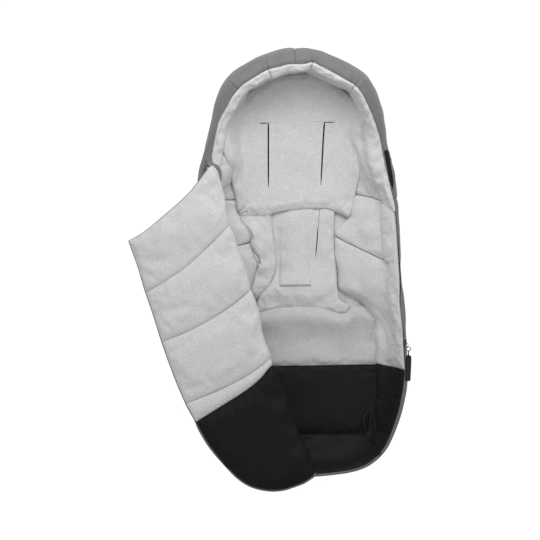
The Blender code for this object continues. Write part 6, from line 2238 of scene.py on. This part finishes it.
@dataclass
class Zips:
    """Tapes and teeth of the two zips, the pocket over the right one, and the pull tab with its ring."""

    tooth: Row = Row(Repeat.TOOTH, 1.7 * MM, 1.25 * MM, 1.8 * MM, 1.2 * MM)
    pocket_ends: tuple[float, float] = (0.243, 0.337)
    # Mouth of the pocket, whose inside is a black sheet of painted shade: share of the way down, half width in metres
    pocket_mouth: Table = in_mm((0, 3.6), (0.06, 5), (0.5, 5.2), (0.8, 4.2), (1, 0.8))
    pocket_inset: Table = in_mm((0, 10.5), (0.5, 10), (1, 8.5))
    lip: float = 2.0 * MM
    # Pull tab, from its eye down: length in metres, half width in metres
    tab_form: Table = in_mm((0.007, 1.1), (0.0165, 1.3), (0.0185, 2.4), (0.0195, 5.9), (0.021, 6.2),
                            (0.0725, 6.2), (0.0745, 5.6))
    # Round ring in the tab's eye: its middle aside of and below the eye, its radius and that of its wire
    tab_ring: tuple[float, float, float, float] = (4.4 * MM, 4.0 * MM, 4.6 * MM, 0.9 * MM)
    # How far its middle runs aside of the eye, by length in metres
    tab_aside: Table = ((0, 0.0044), (0.02, 0.0044), (0.0745, 0.0018))
    tab_fall: float = 0.05

    def rim(self, start: float, end: float, inset: float, lift: float, count: int = 400) -> Array:
        """Path along the rim at an inset from the lining's hem."""
        at = SACK.stations(np.linspace(start, end, count))
        return at.place(at.hem + inset, at.rim + lift)

    def band(self, name: str, start: float, end: float, insets: tuple[float, float], lift: float,
             thickness: float, cloth: Cloth, stands_for: Sequence[str]) -> Thing:
        """Flat band of cloth on the rim.

        Args:
            name: Name of the piece.
            start: First loop place.
            end: Last loop place.
            insets: Distances of its two edges in from the lining's hem.
            lift: Height over the rim.
            thickness: Thickness of the cloth.
            cloth: Its finish.
            stands_for: CAD nodes that it stands for.

        Returns:
            The piece.
        """
        ways = np.linspace(insets[0], insets[1], 5)
        top = np.stack([self.rim(start, end, float(way), lift + 0.25 * MM * math.sin(math.pi * k / 4), 260)
                        for k, way in enumerate(ways)], axis=1)
        thing = sewn(name, top, Direction.UP, thickness, cloth)
        return dress(thing, "muff", stands_for)

    def pocket(self) -> None:
        """Open pocket over the top of the right zip: a black sheet of painted shade in its mouth, between two lips of
        outer cloth.
        """
        share = evenly(60)
        at = SACK.stations(SACK.share_at(mix(*self.pocket_ends, share)))
        middle, half = read(self.pocket_inset, share), read(self.pocket_mouth, share)
        shell = bpy.data.objects["hood_shell_right_cloth"]

        def line(side: float) -> Array:
            """Path beside the mouth: -1 outer, 1 inner."""
            path = at.place(middle + half * side, np.zeros(60))
            path[:, 2] = relax_rows(relax_rows(np.maximum(surface_height(shell, path[:, :2]), at.rim)))
            return path
        # Black sheet in the mouth: painted shade of the pocket's inside.
        top = np.stack([line(side) for side in np.linspace(-1.0, 1.0, 7)], axis=1) + np.array((0, 0, 1.0 * MM))
        dress(sewn("zip_pocket_mouth", top, Direction.UP, 0.8 * MM, Cloth.BLACK), "muff", ())
        for side, name in ((-1.0, "outer"), (1.0, "inner")):
            path = line(side * 1.25) + np.array((0.0, 0.0, 1.2 * MM))
            radius = self.lip * np.sin(math.pi * clamp(share * 0.9 + 0.08)) ** 0.4
            stands_for = ("zip_garage",) if side > 0 else ()
            dress(tube(f"zip_pocket_{name}", path, radius, Cloth.SHELL, 12), "muff", stands_for)

    def pull_tab(self) -> None:
        """Woven pull tab that hangs from its eye in the right ring."""
        low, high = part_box("pull_tab_right")
        eye = np.array(((low.x + high.x) / 2 - 0.9 * MM, high.y, high.z + 0.5 * MM))
        run = np.linspace(self.tab_form[0][0], self.tab_form[-1][0], 70)[:, None]
        half = np.interp(run, *np.array(self.tab_form).T) * np.linspace(-1.0, 1.0, 11)[None, :]
        fall = 0.5 * MM * np.sin(run * 90) - self.tab_fall * run
        top = eye + np.stack(np.broadcast_arrays(read(self.tab_aside, run) + half, -run, fall), axis=-1)
        thing = sewn("pull_tab_right", top, Direction.UP, 1.7 * MM, Cloth.TAB)
        dress(thing, "tab_right", ("pull_tab_right",))
        aside, below, radius, wire = self.tab_ring
        turns = 2 * math.pi * np.arange(40) / 40
        round_eye = np.stack((aside + radius * np.cos(turns), radius * np.sin(turns) - below, 0 * turns), axis=-1)
        ring = tube("pull_tab_ring", eye + round_eye, wire, Cloth.METAL, 10, closed=True)
        dress(ring, "tab_right")

    def build(self) -> None:
        """Make the zips."""
        right_top = SACK.share_at(self.pocket_ends[1] - 0.01)
        left_top = 2.0 - SACK.share_at(LEFT_RIM_END_SHARE)
        for side, start, end in (("right", right_top, 1.0), ("left", 1.0, left_top)):
            self.band(f"zip_tape_{side}", start, end, (-1.9 * MM, 0.7 * MM), 0.9 * MM, 0.6 * MM, Cloth.TAPE,
                      (f"zip_tape_{side}",))
            path = self.rim(start, end, -0.7 * MM, 1.3 * MM)
            self.tooth.along(f"zip_teeth_{side}", path, Cloth.TEETH, "muff", (f"zip_teeth_{side}",), 0.02)
        self.pocket()
        self.pull_tab()
        for node in ("zip_slider_right", "zip_slider_left", "zip_stop_right", "zip_stop_left", "pull_ring_right",
                     "pull_ring_left"):
            repaint(node, Cloth.METAL)


def repaint(node: str, cloth: Cloth) -> None:
    """Give a CAD node a finish in place of its plain one."""
    thing = bpy.data.objects[node]
    for holder in thing.material_slots:
        holder.material = cloth.material()


def edge_piping() -> None:
    """Piping that closes the rim's outer edge round the foot."""
    start, end = SACK.share_at(0.752), 2.0 - SACK.share_at(0.752)
    at = SACK.stations(np.linspace(start, end, 420))
    radius = read(in_mm((0.75, 2.6), (0.8, 4.4), (0.86, 4.2), (0.93, 3.5), (1, 2.9)), at.down)
    path = at.place(radius - 0.6 * MM, at.rim + 0.6 * MM)
    dress(tube("foot_piping", path, radius, Cloth.PIPING, 14, flat=0.8))


# ---------------------------------------------------------------- stage
@dataclass
class Stage:
    """Camera, lamp and white ground, straight above the muff.

    Attributes:
        centre: World place in the middle of the picture.
        turn: How far the camera is turned, in degrees.
        distance: Height of the camera.
        width: Width of what it sees on the ground.
        lamp_size: Width and depth of the lamp.
        lamp_power: Power of the lamp in watts.
        lamp_place: Place of the lamp, which looks at the muff's middle.
        room_light: Strength of the room's light; the camera itself sees the room white.
        ground_low: Height of the ground.
        ground_half: Half width of the ground.
        ground_glow: Strength of the ground's own light.
        glow_share: How much of that the camera sees.
    """

    centre: tuple[float, float] = (-0.0674, -0.0176)
    turn: float = -0.937
    distance: float = 8.0
    width: float = 1.203
    lamp_size: tuple[float, float] = (1.3, 1)
    lamp_power: float = 20.2
    lamp_place: tuple[float, float, float] = (0.03, 1.2, 1.35)
    room_light: float = 0.56
    ground_low: float = -0.0005
    ground_half: float = 6.0
    ground_glow: float = 1.08
    glow_share: float = 0.90

    def camera(self) -> None:
        """Look straight down."""
        lens = bpy.data.cameras.new("camera")
        lens.lens = lens.sensor_width * self.distance / self.width
        eye = placed("camera", lens)
        eye.location = (*self.centre, self.distance)
        eye.rotation_euler = (0.0, 0.0, math.radians(self.turn))
        bpy.context.scene.camera = eye

    def lamps(self) -> None:
        """One large soft lamp above the head, in a white room."""
        light = bpy.data.lights.new("soft_lamp", "AREA")
        light.shape = "RECTANGLE"
        light.size, light.size_y = self.lamp_size
        light.energy = self.lamp_power
        lamp = placed("soft_lamp", light)
        lamp.location = self.lamp_place
        lamp.rotation_euler = (-lamp.location).to_track_quat("-Z", "Y").to_euler()
        world = bpy.data.worlds.new("room")
        bpy.context.scene.world = world
        world.use_nodes = True
        tree = world.node_tree
        path, level = tree.nodes.new("ShaderNodeLightPath"), tree.nodes.new("ShaderNodeMapRange")
        level.inputs["To Min"].default_value = self.room_light
        level.inputs["To Max"].default_value = 1.0
        back = tree.nodes["Background"]
        back.inputs["Color"].default_value = (1.0, 1.0, 1.0, 1.0)
        tree.links.new(path.outputs["Is Camera Ray"], level.inputs["Value"])
        tree.links.new(level.outputs["Result"], back.inputs["Strength"])

    def ground(self) -> None:
        """White ground that keeps a faint shadow."""
        mesh = bpy.data.meshes.new("ground")
        low, far = self.ground_low, self.ground_half
        mesh.from_pydata([(-far, -far, low), (far, -far, low), (far, far, low), (-far, far, low)], [], [(0, 1, 2, 3)])
        floor = placed("ground", mesh)
        nodes = Nodes("ground")
        nodes.finish(grey(0.8), 1.0, Specular_IOR_Level=0.0)
        glow = nodes.add("ShaderNodeEmission", Strength=self.ground_glow).outputs[0]
        seen = nodes.add("ShaderNodeLightPath").outputs["Is Camera Ray"]
        part = nodes.sum(seen, self.glow_share, "MULTIPLY")
        mixed = nodes.add("ShaderNodeMixShader", i0=part, i1=nodes.shader.outputs[0], i2=glow).outputs[0]
        nodes.put(nodes.tree.nodes["Material Output"].inputs["Surface"], mixed)
        mesh.materials.append(nodes.material)

    def build(self) -> None:
        """Set the stage."""
        self.camera()
        self.lamps()
        self.ground()
        bpy.context.scene.view_settings.view_transform = "Standard"


def main() -> None:
    """Build the muff from its sub-assemblies and set the stage."""
    logging.basicConfig(level=logging.INFO, format="%(name)s: %(message)s")
    slots = Slots()
    cutters = slots.build()
    Shell().build(list(cutters.values()))
    Walls().build()
    Floor().build(slots, cutters)
    hood_rolls()
    Cover().build()
    Zips().build()
    edge_piping()
    for cutter in cutters.values():
        bpy.data.objects.remove(cutter)
    Stage().build()


if __name__ == "__main__":
    main()
